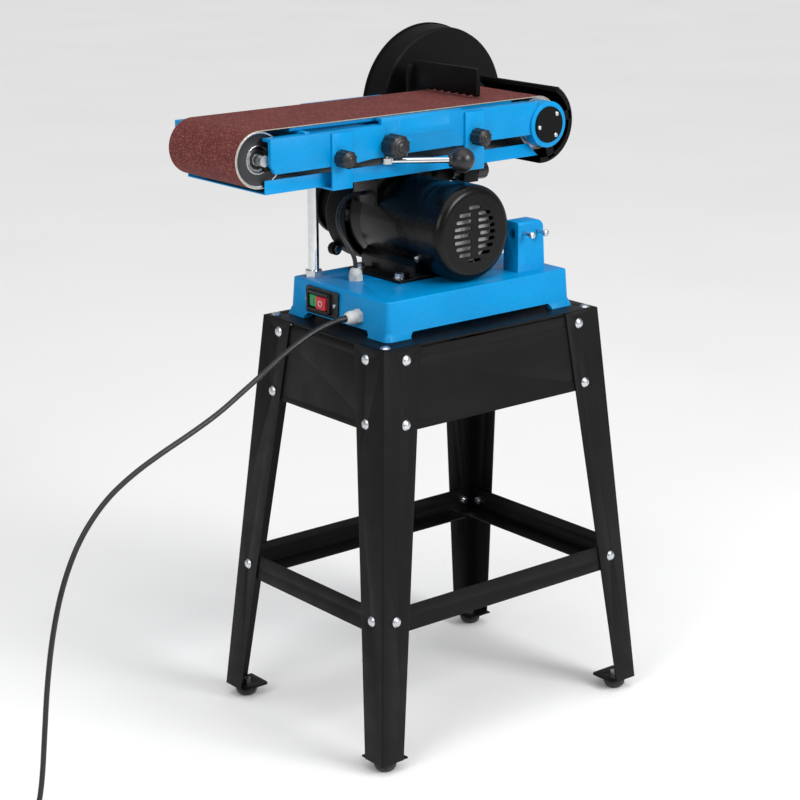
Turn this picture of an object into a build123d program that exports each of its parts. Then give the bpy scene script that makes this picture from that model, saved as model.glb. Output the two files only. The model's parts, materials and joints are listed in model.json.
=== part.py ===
from build123d import *

import math
import os

# Belt and disc sander on a splayed sheet-steel stand. Millimetres, +Z up, +X along the belt towards the
# drive drum, +Y from the motor fan towards the disc. Everything is laid out from the middle of the stand
# on the floor, and moved at the end so that the origin is the middle of the object's footprint.

os.makedirs("parts", exist_ok=True)

# Driving dimensions
stand_top_x, stand_top_y = 191.3, 132.4  # half spans of the leg ridges at the top
stand_foot_x, stand_foot_y = 237.0, 181.5  # half spans of the leg ridges at the feet
stand_height, foot_height = 568.4, 15.7
leg_sheet, leg_wide, leg_narrow = 2.0, 62.0, 37.0
apron_low, apron_sheet = 457.0, 1.5
brace_height, brace_deep = 35.0, 30.0
bolt_r, bolt_head_r = 3.0, 7.0
fit = 0.05  # radial clearance of every screw and shaft

base_x, base_y = 6.1, 8.8  # middle of the base casting
base_long, base_wide, base_top = 320.6, 207.4, 620.2
base_wall, base_roof = 6.0, 7.0

belt_mid_y, belt_width = 89.5, 152.4
axis_z = 807.1  # height of both drum axes
idler_x, drive_x = -277.0, 207.0
belt_outer_r, belt_thick, belt_gap = 37.6, 1.2, 0.3
drum_r = belt_outer_r - belt_thick - belt_gap
drum_half = 75.7
spindle_r, idler_shaft_r = 9.0, 7.5

arm_face = -6.0  # outer face of the near side wall
arm_recess = 0.0  # outer face of its recessed middle
arm_wall = 6.0
arm_near_end, arm_far_end = -272.5, -291.0  # the two walls end at different places
tray_low, tray_sheet = 761.3, 1.5
tray_left, tray_right, tray_near, tray_far = -271.5, 204.0, 9.5, 187.0
strap_sheet = 3.0

motor_x, motor_z, motor_r = 10.4, 687.2, 62.5
cover_r, fan_face, shell_near, shell_far = 65.5, -78.3, -38.0, 92.0
motor_shaft_r = 8.0

drive_plane = 199.0  # near side of both pulleys
driven_r, motor_pulley_r = 34.0, 22.0
plate_near, plate_far = 212.0, 220.2  # spindle housing plate
guard_near, guard_rim, guard_r = 220.2, 262.0, 118.5
disc_r = 114.3

bore_r, bore_y, bore_z = 8.0, -57.4, 673.0  # socket for a table rod in the base lug
lug_x0, lug_x1, lug_y0, lug_y1, lug_top = 95.0, 147.0, -72.0, -42.0, 690.0
lug_length = lug_x1 - lug_x0 - 3.5

cord_r, gland_y, gland_z, gland_tip = 3.5, -36.0, 592.0, -178.0

nodes = {}
machine_screws = []  # every screw, bolt and nut of the machine's fixed parts


# Helpers
def block(x0, x1, y0, y1, z0, z1):
    return Pos((x0 + x1) / 2, (y0 + y1) / 2, (z0 + z1) / 2) * Box(x1 - x0, y1 - y0, z1 - z0)


def bar_x(y, z, x0, x1, radius):
    return Pos((x0 + x1) / 2, y, z) * Rot(0, 90, 0) * Cylinder(radius, x1 - x0)


def bar_y(x, z, y0, y1, radius):
    return Pos(x, (y0 + y1) / 2, z) * Rot(90, 0, 0) * Cylinder(radius, y1 - y0)


def bar_z(x, y, z0, z1, radius):
    return Pos(x, y, (z0 + z1) / 2) * Cylinder(radius, z1 - z0)


def ring_y(x, z, y0, y1, outer, inner):
    return bar_y(x, z, y0, y1, outer) - bar_y(x, z, y0 - 1, y1 + 1, inner)


def turned(points):
    """A solid turned about Z from (radius, height) points."""
    outline = Polyline([(r, 0, h) for r, h in points], close=True)
    return revolve(make_face(outline), Axis.Z)


def turned_y(points, x, z):
    """The same about the +Y axis through (x, z): points are (radius, y)."""
    return Pos(x, 0, z) * Rot(-90, 0, 0) * turned(points)


def facing_front(x, y, z):
    """Places a shape whose +Z end faces the near side (-Y)."""
    return Pos(x, y, z) * Rot(90, 0, 0)


def side_profile(points, y0, y1):
    """A plate between y0 and y1 whose outline is given as (x, z) points."""
    outline = Polyline([(x, y0, z) for x, z in points], close=True)
    return extrude(make_face(outline), amount=y1 - y0, dir=(0, 1, 0))


def hull_y(first, second, y0, y1):
    """The tight outline round two circles, each (x, z, radius), made solid from y0 to y1."""
    (xa, za, ra), (xb, zb, rb) = first, second
    heading = math.atan2(zb - za, xb - xa)
    spread = math.acos((ra - rb) / math.hypot(xb - xa, zb - za))
    points = []
    for x, z, r, sign in ((xa, za, ra, 1), (xb, zb, rb, 1), (xb, zb, rb, -1), (xa, za, ra, -1)):
        angle = heading + sign * spread
        points.append((x + r * math.cos(angle), z + r * math.sin(angle)))
    return side_profile(points, y0, y1) + bar_y(xa, za, y0, y1, ra) + bar_y(xb, zb, y0, y1, rb)


def hex_prism(radius, height):
    return extrude(RegularPolygon(radius, 6), height)


def fluted(radius, height, flutes, depth):
    """A knob body standing on XY, with round grooves along its side."""
    body = fillet((Pos(0, 0, height / 2) * Cylinder(radius, height)).edges().group_by(Axis.Z)[-1], 2.0)
    for i in range(flutes):
        angle = 2 * math.pi * i / flutes
        at = radius + depth
        body -= bar_z(at * math.cos(angle), at * math.sin(angle), -1, height + 1, 2 * depth)
    return body


def far_side(shape):
    """The shape mirrored to the other side of the belt."""
    return mirror(shape, about=Plane.XZ.offset(-belt_mid_y))


# Stand
def half_x(z):
    return stand_top_x + (stand_foot_x - stand_top_x) * (stand_height - z) / (stand_height - foot_height)


def half_y(z):
    return stand_top_y + (stand_foot_y - stand_top_y) * (stand_height - z) / (stand_height - foot_height)


def slope(side):
    span = stand_height - foot_height
    if side in ("front", "back"):
        return (stand_foot_y - stand_top_y) / span
    return (stand_foot_x - stand_top_x) / span


def outward(side):
    lean = slope(side)
    directions = {"front": (0, -1), "back": (0, 1), "left": (-1, 0), "right": (1, 0)}
    x, y = directions[side]
    return Vector(x, y, lean).normalized()


def on_side(side, across, z, depth=0.0):
    """A point on one of the four sloping sides of the stand, depth below its surface."""
    if side in ("front", "back"):
        surface = Vector(across, half_y(z) * (-1 if side == "front" else 1), z)
    else:
        surface = Vector(half_x(z) * (-1 if side == "left" else 1), across, z)
    return surface - outward(side) * depth


def panel(side, corners, depth, sheet):
    points = [on_side(side, across, z, depth) for across, z in corners]
    return extrude(make_face(Polyline(points, close=True)), amount=sheet, dir=-outward(side))


def half_span(side, z):
    return half_x(z) if side in ("front", "back") else half_y(z)


sides = ("front", "back", "left", "right")
apron_bolts = ((38.4, 551.0), (38.4, 466.4))
brace_bolt = (23.9, 207.2)


def bolt_places(side):
    places = []
    for inset, z in apron_bolts:
        places += [(sign * (half_span(side, z) - inset), z, apron_sheet) for sign in (-1, 1)]
    inset, z = brace_bolt
    places += [(sign * (half_span(side, z) - inset), z, leg_sheet) for sign in (-1, 1)]
    return places


def on_plane(side, across, z):
    """A location on the outer surface of a side, with its Z pointing outwards."""
    return Plane(origin=on_side(side, across, z), z_dir=outward(side)).location


def bolt_holes(side):
    return [on_plane(side, across, z) * Cylinder(bolt_r + fit, 16) for across, z, _ in bolt_places(side)]


def angle_section(sign_x, sign_y, z, width):
    """The L-shaped outline of a leg at one height."""
    x, y = half_x(z), half_y(z)
    sheet_x = leg_sheet * math.hypot(1, slope("left"))
    sheet_y = leg_sheet * math.hypot(1, slope("front"))
    outline = [
        (x, y),
        (x - width, y),
        (x - width, y - sheet_y),
        (x - sheet_x, y - sheet_y),
        (x - sheet_x, y - width),
        (x, y - width),
    ]
    return make_face(Polyline([(sign_x * px, sign_y * py, z) for px, py in outline], close=True))


def leg(sign_x, sign_y):
    top = stand_height - 0.5
    low_section = angle_section(sign_x, sign_y, foot_height, leg_narrow)
    body = loft([low_section, angle_section(sign_x, sign_y, top, leg_wide)], ruled=True)
    long_edges = body.edges().filter_by(lambda edge: edge.length > 500)
    ridge = long_edges.sort_by_distance((sign_x * 400, sign_y * 400, 290))[0]
    body = fillet(ridge, 1.8)
    for side in ("front" if sign_y < 0 else "back", "left" if sign_x < 0 else "right"):
        for hole in bolt_holes(side):
            body -= hole
    tab = block(-44, 0, -44, 0, foot_height, foot_height + leg_sheet)
    tab -= bar_z(-21, -20, 0, 40, bolt_r + fit)
    tab = fillet(tab.edges().filter_by(Axis.Z).sort_by_distance((-44, -44, foot_height))[0], 6)
    if sign_x < 0:
        tab = mirror(tab, about=Plane.YZ)
    if sign_y < 0:
        tab = mirror(tab, about=Plane.XZ)
    body += Pos(sign_x * (stand_foot_x - 1.0), sign_y * (stand_foot_y - 1.0), 0) * tab
    lug_z = stand_height - 4.6
    lug = block(-32, 0, -32, 0, lug_z, lug_z + leg_sheet)
    lug -= bar_z(-12.0, -12.0, lug_z - 2, lug_z + 9, bolt_r + fit)
    if sign_x < 0:
        lug = mirror(lug, about=Plane.YZ)
    if sign_y < 0:
        lug = mirror(lug, about=Plane.XZ)
    return body + Pos(sign_x * (stand_top_x - 1.0), sign_y * (stand_top_y - 1.0), 0) * lug


def apron(side):
    end_gap = 4.6 if side in ("front", "back") else 2.6
    top, low = stand_height - 5.0, apron_low
    corners = []
    for sign, z in ((-1, top), (-1, low), (1, low), (1, top)):
        corners.append((sign * (half_span(side, z) - end_gap), z))
    sheet = panel(side, corners, leg_sheet, apron_sheet)
    reach, hem_top, hem_deep = half_span(side, low) - 70, low + apron_sheet, 14.0
    hem = [(-reach, low), (reach, low), (reach, hem_top), (-reach, hem_top)]
    sheet += panel(side, hem, leg_sheet, hem_deep)
    for hole in bolt_holes(side):
        sheet -= hole
    return sheet


def brace(side):
    end_gap = 6.6 if side in ("front", "back") else 2.6
    flange_gap = 42.0 if side in ("front", "back") else 8.0
    low = brace_bolt[1] - brace_height / 2
    top = low + brace_height
    corners = []
    for sign, z in ((-1, top), (-1, low), (1, low), (1, top)):
        corners.append((sign * (half_span(side, z) - end_gap), z))
    sheet = panel(side, corners, leg_sheet, leg_sheet)
    reach = half_span(side, low) - flange_gap
    shelf = [(-reach, low), (reach, low), (reach, low + leg_sheet), (-reach, low + leg_sheet)]
    sheet += panel(side, shelf, leg_sheet, brace_deep)
    for hole in bolt_holes(side):
        sheet -= hole
    return sheet


corner_signs = [(sx, sy) for sx in (-1, 1) for sy in (-1, 1)]
nodes["stand_legs"] = Compound([leg(*signs) for signs in corner_signs])
nodes["stand_aprons"] = Compound([apron(side) for side in sides])
nodes["stand_braces"] = Compound([brace(side) for side in sides])

lug_inset = 13.0  # from the ridge to the screw that holds the top plate
plate_half_x, plate_half_y = stand_top_x - 2.6, stand_top_y - 2.6
top_plate = block(-plate_half_x, plate_half_x, -plate_half_y, plate_half_y, stand_height - 2.5, stand_height)
top_plate -= block(-110, 110, -70, 70, stand_height - 5, stand_height + 5)
for sx, sy in corner_signs:
    x, y = sx * (stand_top_x - lug_inset), sy * (stand_top_y - lug_inset)
    top_plate -= bar_z(x, y, stand_height - 9, stand_height + 9, bolt_r + fit)
nodes["stand_top_plate"] = top_plate


def carriage_bolt(shank):
    head = turned([(0, 3.2), (2.6, 3.0), (5.0, 2.1), (bolt_head_r, 0.0), (0, 0)])
    return head + Pos(0, 0, -shank / 2) * Cylinder(bolt_r, shank)


def nut(radius=6.3, height=5.0, hole=bolt_r + fit):
    return hex_prism(radius, height) - Pos(0, 0, height / 2) * Cylinder(hole, height + 2)


stand_fasteners = []
for side in sides:
    for across, z, inner in bolt_places(side):
        place = on_plane(side, across, z)
        stand_fasteners.append(place * carriage_bolt(leg_sheet + inner + 8.5))
        stand_fasteners.append(place * Pos(0, 0, -leg_sheet - inner - 5.1) * nut())
for sx, sy in corner_signs:
    x, y = sx * (stand_top_x - lug_inset), sy * (stand_top_y - lug_inset)
    stand_fasteners.append(Pos(x, y, stand_height) * carriage_bolt(12))
    stand_fasteners.append(Pos(x, y, stand_height - 4.6 - 5.1) * nut())


def rubber_foot():
    profile = [(0, 0), (9.5, 0), (13.2, 2.2), (15.2, 6.5), (15.5, 11), (15.2, foot_height), (0, foot_height)]
    return turned(profile) - bar_z(0, 0, 5, 20, bolt_r + fit)


feet = []
for sx, sy in corner_signs:
    place = Pos(sx * (stand_foot_x - 22.0), sy * (stand_foot_y - 21.0), 0)
    feet.append(place * rubber_foot())
    stud = bar_z(0, 0, 6.0, foot_height + leg_sheet + 0.2, bolt_r)
    stand_fasteners.append(place * (stud + Pos(0, 0, foot_height + leg_sheet) * hex_prism(6.3, 5.5)))
nodes["rubber_feet"] = Compound(feet)
nodes["stand_fasteners"] = Compound(stand_fasteners)

# Base casting
lip_height, lip_out, draft_out = 9.6, 7.7, 3.0
base_left = base_x - base_long / 2
base_near = base_y - base_wide / 2
base_far = base_y + base_wide / 2


def base_casting():
    body_h = base_top - stand_height - lip_height
    lip = Pos(base_x, base_y, stand_height) * extrude(
        RectangleRounded(base_long + 2 * lip_out, base_wide + 2 * lip_out, 10),
        lip_height,
        taper=math.degrees(math.atan((lip_out - draft_out) / lip_height)),
    )
    walls = Pos(base_x, base_y, stand_height + lip_height) * extrude(
        RectangleRounded(base_long + 2 * draft_out, base_wide + 2 * draft_out, 8),
        body_h,
        taper=math.degrees(math.atan(draft_out / body_h)),
    )
    walls = fillet(walls.edges().group_by(Axis.Z)[-1], 2.5)
    body = lip + walls
    inside = Pos(base_x, base_y, stand_height - 1) * extrude(
        RectangleRounded(base_long - 2 * base_wall, base_wide - 2 * base_wall, 5),
        base_top - stand_height - base_roof + 1,
    )
    body -= inside
    gap_x, gap_y, gap_h = base_long / 2 - 34, base_wide / 2 - 34, 8.0
    for half, length, turn in ((gap_x, base_wide + 60, 0), (gap_y, base_long + 60, 90)):
        arch = extrude(Rectangle(2 * half, 2 * gap_h), length / 2, both=True)
        arch = chamfer(arch.edges().filter_by(Axis.Z), 5)
        body -= Pos(base_x, base_y, stand_height) * Rot(0, 0, turn) * Rot(90, 0, 0) * arch
    # pad for the spindle housing
    body += block(62, 138, base_far - 8, 120, 580, 616)
    # openings for the switch and for the two cable glands
    body -= block(base_left - 20, base_left - 1.5, 6.0, 77.5, 577.9, 615.1)
    body -= block(base_left - 20, base_left + 12, 21.4, 70.6, 582.4, 610.6)
    body -= bar_x(gland_y, gland_z, base_left - 20, base_left + 12, 6)
    body -= block(base_left - 20, base_left - 1.5, gland_y - 11, gland_y + 11, gland_z - 11, gland_z + 11)
    body -= bar_z(cable_gland_x, cable_gland_y, base_top - 20, base_top + 2, 5)
    for x, y in foot_bolts:
        body -= bar_z(x, y, base_top - 20, base_top + 2, bolt_r + fit)
    body -= bar_z(post_x, belt_mid_y, base_top - 20, base_top + 2, 5 + fit)
    return body


lock_screw_x = (104.5, 130.0)
cable_gland_x, cable_gland_y = -103.4, 37.5
foot_bolts = [(motor_x - 71.5, -4.0), (motor_x - 71.5, 80.0), (motor_x + 71.5, -4.0), (motor_x + 71.5, 80.0)]
post_x, post_r = -135.3, 7.5
nodes["base_casting"] = base_casting()


def rod_lug():
    """The upright lug with the socket for a table rod."""
    outline = [(lug_x0, base_top), (lug_x1, base_top), (lug_x1 - 4, lug_top), (lug_x0, lug_top)]
    body = side_profile(outline, lug_y0, lug_y1)
    corners = body.edges().filter_by(Axis.Y).group_by(Axis.Z)[-1].sort_by(Axis.X)
    body = fillet(corners[-1], 12)
    body = fillet(body.edges().filter_by(Axis.X).group_by(Axis.Z)[-1], 4)
    body -= bar_x(bore_y, bore_z, lug_x0 - 5, lug_x1 + 5, bore_r)
    for x in lock_screw_x:
        body -= bar_y(x, bore_z + 1.5, lug_y0 - 1, bore_y, 2.5 + fit)
    return body


nodes["rod_lug"] = rod_lug()

post = bar_z(post_x, belt_mid_y, base_top + 0.2, tray_low - 0.3, post_r)
post += bar_z(post_x, belt_mid_y, base_top - 12, base_top + 0.2, 5)
nodes["support_post"] = post
machine_screws.append(Pos(post_x, belt_mid_y, base_top) * nut(12.5, 10.0, post_r + fit))


def lock_screw(x):
    body = bar_y(x, bore_z + 1.5, lug_y0 - 18, lug_y0 + 6.4, 2.5)
    button = turned([(0, 0), (4.6, 0), (4.9, 1.5), (4.2, 3.8), (2, 4.8), (0, 5)])
    head = facing_front(x, lug_y0 - 16, bore_z + 1.5) * button
    slot = Pos(x, lug_y0 - 21, bore_z + 1.5) * Box(1.2, 2.4, 12)
    return body + head - slot


nodes["rod_lock_screw_left"] = lock_screw(lock_screw_x[0])
nodes["rod_lock_screw_right"] = lock_screw(lock_screw_x[1])

# Switch and glands
face_x = base_left - 1.5  # flat pocket in the end wall
plate_t = 3.0
switch_plate = block(face_x - plate_t, face_x, 6.5, 77.0, 578.4, 614.6)
switch_plate = fillet(switch_plate.edges().filter_by(Axis.X), 3)
switch_plate -= block(face_x - 10, face_x + 5, 22.4, 69.6, 583.4, 609.6)
switch_screw_y = (14.2, 73.6)
for y in switch_screw_y:
    switch_plate -= bar_x(y, 596.5, face_x - 10, face_x + 5, 1.6)
housing = block(face_x, face_x + 24, 21.8, 70.2, 582.8, 610.2)
housing -= block(face_x - 1, face_x + 21, 23.4, 68.6, 584.4, 608.6)
housing += block(face_x, face_x + 21, 45.6, 46.8, 584.0, 609.0)
nodes["switch_body"] = Compound([switch_plate, housing])
start_face, stop_face, button_back = face_x - 5.2, face_x - 10.0, face_x + 14.0
start = block(start_face, button_back, 47.3, 68.2, 584.8, 608.2)
nodes["start_button"] = fillet(start.edges().group_by(Axis.X)[0], 1)
stop = block(stop_face, button_back, 23.8, 45.1, 584.8, 608.2)
nodes["stop_button"] = fillet(stop.edges().group_by(Axis.X)[0], 1.5)
for y in switch_screw_y:
    screw = bar_x(y, 596.5, face_x - plate_t, face_x + 4, 1.55)
    head = turned([(0, 0), (3.1, 0), (2.6, 1.2), (0, 1.8)])
    machine_screws.append(screw + Pos(face_x - plate_t, y, 596.5) * Rot(0, -90, 0) * head)
    nodes["base_casting"] -= bar_x(y, 596.5, face_x - 3, face_x + 6, 1.6)


def gland(length):
    """A cable gland standing on XY: thread below, hexagon, then a domed clamping nut."""
    body = hex_prism(10.4, 7) + Pos(0, 0, -5) * Cylinder(5.8 if length > 20 else 4.9, 10)
    dome = turned([(0, 7), (9.0, 7), (9.0, length - 7), (7.6, length - 2.5), (5.2, length), (0, length)])
    return body + dome


cord_gland = Pos(face_x, gland_y, gland_z) * Rot(0, -90, 0) * gland(face_x - gland_tip)
cord_gland -= bar_x(gland_y, gland_z, gland_tip - 1, face_x + 20, cord_r)
cable_r = 3.0
motor_gland = Pos(cable_gland_x, cable_gland_y, base_top) * gland(17.0)
motor_gland -= bar_z(cable_gland_x, cable_gland_y, base_top - 20, base_top + 30, cable_r)
nodes["cable_glands"] = Compound([cord_gland, motor_gland])

# Cords


def rounded_route(points):
    """Straight runs joined by tangent arcs, each as large as its two runs allow."""
    radii = []
    for before, corner, after in zip(points, points[1:], points[2:]):
        first, second = Vector(*corner) - Vector(*before), Vector(*after) - Vector(*corner)
        turn = math.radians(first.get_angle(second))
        radii.append(0.45 * min(first.length, second.length) / math.tan(turn / 2))
    return FilletPolyline(points, radius=radii), radii


def tube(points, radius, label):
    path, radii = rounded_route(points)
    start = Plane(origin=path @ 0, z_dir=path % 0)
    solid = sweep(start * Circle(radius), path=path)
    print(label, "length", round(path.length, 1), "smallest radius", round(min(radii), 1))
    expected = math.pi * radius**2 * path.length
    print(label, "volume over section times length", round(solid.volume / expected, 4))
    print(label, "radii", [round(r) for r in radii])
    return solid


# the terminal box on the motor, where the motor's cable ends
box_x0, box_x1, box_y0, box_y1, box_top = -47.0, 27.0, 60.0, 112.0, 753.0
motor_cable_route = [
    (cable_gland_x, cable_gland_y, base_top + 17.0),
    (cable_gland_x - 0.5, cable_gland_y + 0.6, base_top + 29.0),
    (-108.0, 42.0, 662.0),
    (-113.0, 52.0, 677.5),
    (-112.5, 63.0, 692.0),
    (-105.0, 74.0, 705.5),
    (-92.0, 83.0, 715.5),
    (-77.0, 90.0, 722.5),
    (-62.0, 94.0, 725.0),
    (box_x0, 94.0, 725.0),
]
nodes["motor_cable"] = tube(motor_cable_route, cable_r, "motor cable")

power_cord_route = [
    (gland_tip, gland_y, gland_z),
    (-193.0, gland_y, 591.4),
    (-228.0, -36.5, 584.5),
    (-273.0, -36.0, 564.5),
    (-312.0, -35.0, 540.5),
    (-346.0, -34.5, 521.0),
    (-382.0, -36.0, 501.5),
    (-427.0, -38.0, 483.5),
    (-473.0, -38.5, 466.5),
    (-516.0, -36.5, 446.5),
    (-556.0, -35.0, 420.5),
    (-594.0, -36.0, 380.0),
    (-622.0, -38.5, 328.0),
    (-641.0, -41.0, 268.0),
    (-653.0, -42.5, 204.0),
    (-660.5, -43.0, 140.0),
    (-666.0, -42.0, 84.0),
    (-673.0, -40.5, 44.0),
    (-687.0, -37.5, 16.5),
    (-712.0, -33.5, 4.6),
    (-741.0, -31.5, 3.7),
    (-765.0, -31.8, 3.6),
]
nodes["power_cord"] = tube(power_cord_route, cord_r, "power cord")

coil_r, coil_band, coil_high = 38.5, 14.0, 14.4
coil_x, coil_y = -790.0, 7.0
coil = bar_z(coil_x, coil_y, 0.2, coil_high, coil_r + coil_band / 2)
coil -= bar_z(coil_x, coil_y, -1, coil_high + 1, coil_r - coil_band / 2)
nodes["cord_coil"] = coil


def plug():
    """A moulded mains plug standing on its round body's side, pins towards +Y."""
    sleeve = [(0, 0), (5.0, 0), (6.0, 6), (7.0, 20)]
    body = turned(sleeve + [(15.5, 27), (17.5, 32), (17.5, 44), (16.5, 47), (0, 47)])
    for x in (-9.5, 9.5):
        body += bar_z(x, 0, 46, 66, 2.4)
    return body


nodes["plug"] = Pos(coil_x - 42.0, coil_y + 17.0, 17.6) * Rot(-90, 0, 0) * plug()

# Motor


def fan_cover():
    wall, crown = 1.8, 12.0
    cup = bar_y(motor_x, motor_z, fan_face, shell_near + 8, cover_r)
    cup = fillet(cup.edges().group_by(Axis.Y)[0], crown)
    room = bar_y(motor_x, motor_z, fan_face + wall, shell_near + 9, cover_r - wall)
    room = fillet(room.edges().group_by(Axis.Y)[0], crown - wall)
    cup -= room
    cup += ring_y(motor_x, motor_z, shell_near + 1, shell_near + 8, cover_r, motor_r)
    pitch, slot_h, half_field = 9.1, 4.9, 37.5
    for row in range(-4, 5):
        z = motor_z + row * pitch
        if abs(row) == 4:
            spans = [(-10.5, 10.5)]
        else:
            inner = 9.5 if row == 0 else 6.0
            reach = math.sqrt(half_field**2 - (row * pitch * 0.9) ** 2) - 1.0
            spans = [(-reach, -inner), (inner, reach)]
        for x0, x1 in spans:
            left, right = motor_x + x0 + slot_h / 2, motor_x + x1 - slot_h / 2
            slot = block(left, right, fan_face - 1, fan_face + 4, z - slot_h / 2, z + slot_h / 2)
            for x in (left, right):
                slot += bar_y(x, z, fan_face - 1, fan_face + 4, slot_h / 2)
            cup -= slot
    return cup


nodes["fan_cover"] = fan_cover()
shell = ring_y(motor_x, motor_z, shell_near, shell_far, motor_r, motor_r - 3)
earth_place = Pos(motor_x, -24.5, motor_z) * Rot(0, -212, 0) * Rot(0, 90, 0)
shell -= earth_place * Pos(0, 0, motor_r) * Cylinder(2.0 + fit, 12)
earth_screw = Pos(0, 0, motor_r - 1) * Cylinder(2.0, 8) + Pos(0, 0, motor_r + 2.8) * hex_prism(4.2, 4.4)
machine_screws.append(earth_place * earth_screw)
bearing_r, bearing_w = 20.0, 12.0
shield = ring_y(motor_x, motor_z, shell_near + 2, shell_near + 8, motor_r - 3, 30)
shield += ring_y(motor_x, motor_z, shell_near + 2, shell_near + 18, 31, bearing_r)
for x0, x1 in ((-56, -32), (32, 56)):
    shield -= block(motor_x + x0, motor_x + x1, shell_near, shell_near + 10, motor_z - 12, motor_z + 12)
bell_far = 118.0
bell = bar_y(motor_x, motor_z, shell_far, bell_far, motor_r)
bell -= bar_y(motor_x, motor_z, shell_far - 1, bell_far - 6, motor_r - 5)
bell += bar_y(motor_x, motor_z, bell_far - 20, bell_far - 5, 30)
bell -= bar_y(motor_x, motor_z, bell_far - 21, bell_far - 21 + bearing_w + 1, bearing_r)
bell -= bar_y(motor_x, motor_z, bell_far - 30, bell_far + 5, motor_shaft_r + 3)
nodes["motor_end_shields"] = Compound([shield, bell])
near_bearing_y, far_bearing_y = shell_near + 4, bell_far - 20.5
shaft_bearings = []
for y in (near_bearing_y, far_bearing_y):
    shaft_bearings.append(ring_y(motor_x, motor_z, y, y + bearing_w, bearing_r, motor_shaft_r + fit))
stator = ring_y(motor_x, motor_z, -8, 62, motor_r - 3, 36)
stator += ring_y(motor_x, motor_z, -18, 72, 52, 38)
nodes["stator"] = stator
rotor_core = ring_y(motor_x, motor_z, -8, 62, 35.4, motor_shaft_r)
motor_shaft = bar_y(motor_x, motor_z, -64, drive_plane + 10, motor_shaft_r)
nodes["motor_rotor"] = Compound([rotor_core, motor_shaft])
fan = ring_y(motor_x, motor_z, -62, -46, 14, motor_shaft_r) + ring_y(motor_x, motor_z, -49, -46, 50, 13)
for i in range(9):
    blade = block(-1.2, 1.2, -64, -48, 12, 50)
    fan += Pos(motor_x, 0, motor_z) * Rot(0, 40 * i, 0) * blade
nodes["motor_fan"] = fan
foot_near, foot_far, foot_t = -20.0, 92.0, 4.0
foot_half, cradle_half = 84.0, 60.5
foot = block(motor_x - foot_half, motor_x + foot_half - 2, foot_near, foot_far, base_top, base_top + foot_t)
cradle = side_profile(
    [
        (motor_x - cradle_half, base_top + foot_t),
        (motor_x - cradle_half, base_top + 19.8),
        (motor_x - cradle_half + 11, base_top + 31),
        (motor_x + cradle_half - 11, base_top + 31),
        (motor_x + cradle_half, base_top + 19.8),
        (motor_x + cradle_half, base_top + foot_t),
    ],
    foot_near,
    foot_far,
)
cradle -= bar_y(motor_x, motor_z, foot_near - 1, foot_far + 1, motor_r)
foot += cradle
for x, y in foot_bolts:
    foot -= bar_z(x, y, base_top - 1, base_top + 9, bolt_r + fit)
for x, y in foot_bolts:
    head = turned([(0, 0), (8, 0), (8, 1.5), (0, 1.5)]) + Pos(0, 0, 1.5) * hex_prism(6.4, 5)
    bolt = Pos(x, y, base_top + foot_t) * head
    bolt += bar_z(x, y, base_top - 14, base_top + foot_t, bolt_r)
    machine_screws.append(bolt)
terminal = block(box_x0, box_x1, box_y0, box_y1, 706, box_top)
terminal = fillet(terminal.edges().filter_by(Axis.Y).group_by(Axis.Z)[-1], 8)
terminal -= bar_y(motor_x, motor_z, box_y0 - 1, box_y1 + 1, motor_r)
nodes["motor_shell"] = Compound([shell, foot, terminal])

# Belt transmission
motor_wheel = ring_y(motor_x, motor_z, drive_plane, drive_plane + 9, motor_pulley_r, motor_shaft_r)
motor_wheel += ring_y(motor_x, motor_z, drive_plane - 1.2, drive_plane, motor_pulley_r + 3, motor_shaft_r)
nodes["motor_pulley"] = motor_wheel
driven = ring_y(drive_x, axis_z, drive_plane, drive_plane + 9, driven_r, spindle_r)
driven += ring_y(drive_x, axis_z, drive_plane - 1.2, drive_plane, driven_r + 3, spindle_r)
nodes["driven_pulley"] = driven
small, large = (motor_x, motor_z, motor_pulley_r + 0.3), (drive_x, axis_z, driven_r + 0.3)
belt_deep = 4.0
small_outside, large_outside = (*small[:2], small[2] + belt_deep), (*large[:2], large[2] + belt_deep)
ribbed_belt = hull_y(small_outside, large_outside, drive_plane + 0.6, drive_plane + 8.4)
ribbed_belt -= hull_y(small, large, drive_plane - 1, drive_plane + 10)
nodes["ribbed_belt"] = ribbed_belt

cover_near, cover_wall = 195.0, 1.8
low_end, high_end = (motor_x, motor_z, 40.0), (drive_x, axis_z, 45.0)


def inset(circle, wall):
    return circle[0], circle[1], circle[2] - wall


belt_cover = hull_y(low_end, high_end, cover_near, plate_near)
low_room, high_room = inset(low_end, cover_wall), inset(high_end, cover_wall)
belt_cover -= hull_y(low_room, high_room, cover_near + cover_wall, plate_near + 1)
belt_cover -= bar_y(motor_x, motor_z, cover_near - 1, cover_near + 5, 30)
belt_cover -= bar_y(drive_x, axis_z, cover_near - 1, cover_near + 5, spindle_r + 3)
hub_near, hub_far, hub_r = 121.0, 167.0, 66.0
hub_x, hub_z, neck_r = motor_x - 2, motor_z - 3, 38.0
shaft_cover = bar_y(hub_x, hub_z, hub_near, hub_far, hub_r)
shaft_cover = fillet(shaft_cover.edges().group_by(Axis.Y)[-1], 6)
shaft_cover += bar_y(motor_x, motor_z, hub_far - 3, cover_near, neck_r)
shaft_cover -= bar_y(motor_x, motor_z, hub_far - 8, cover_near + 3, neck_r - 2)
shaft_cover -= bar_y(hub_x, hub_z, hub_near - 1, hub_far - 2, hub_r - 2)
ear_x, ear_z = -48.5, 637.0
shaft_cover += bar_y(ear_x, ear_z, hub_near + 29, hub_near + 39, 9)
shaft_cover -= bar_y(ear_x, ear_z, hub_near + 20, hub_far + 1, bolt_r + fit)
nodes["belt_cover"] = Compound([belt_cover, shaft_cover])
ear_near = hub_near + 29
ear_bolt = bar_y(ear_x, ear_z, ear_near, ear_near + 18, bolt_r)
machine_screws.append(ear_bolt + facing_front(ear_x, ear_near, ear_z) * hex_prism(6.0, 4.2))
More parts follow.
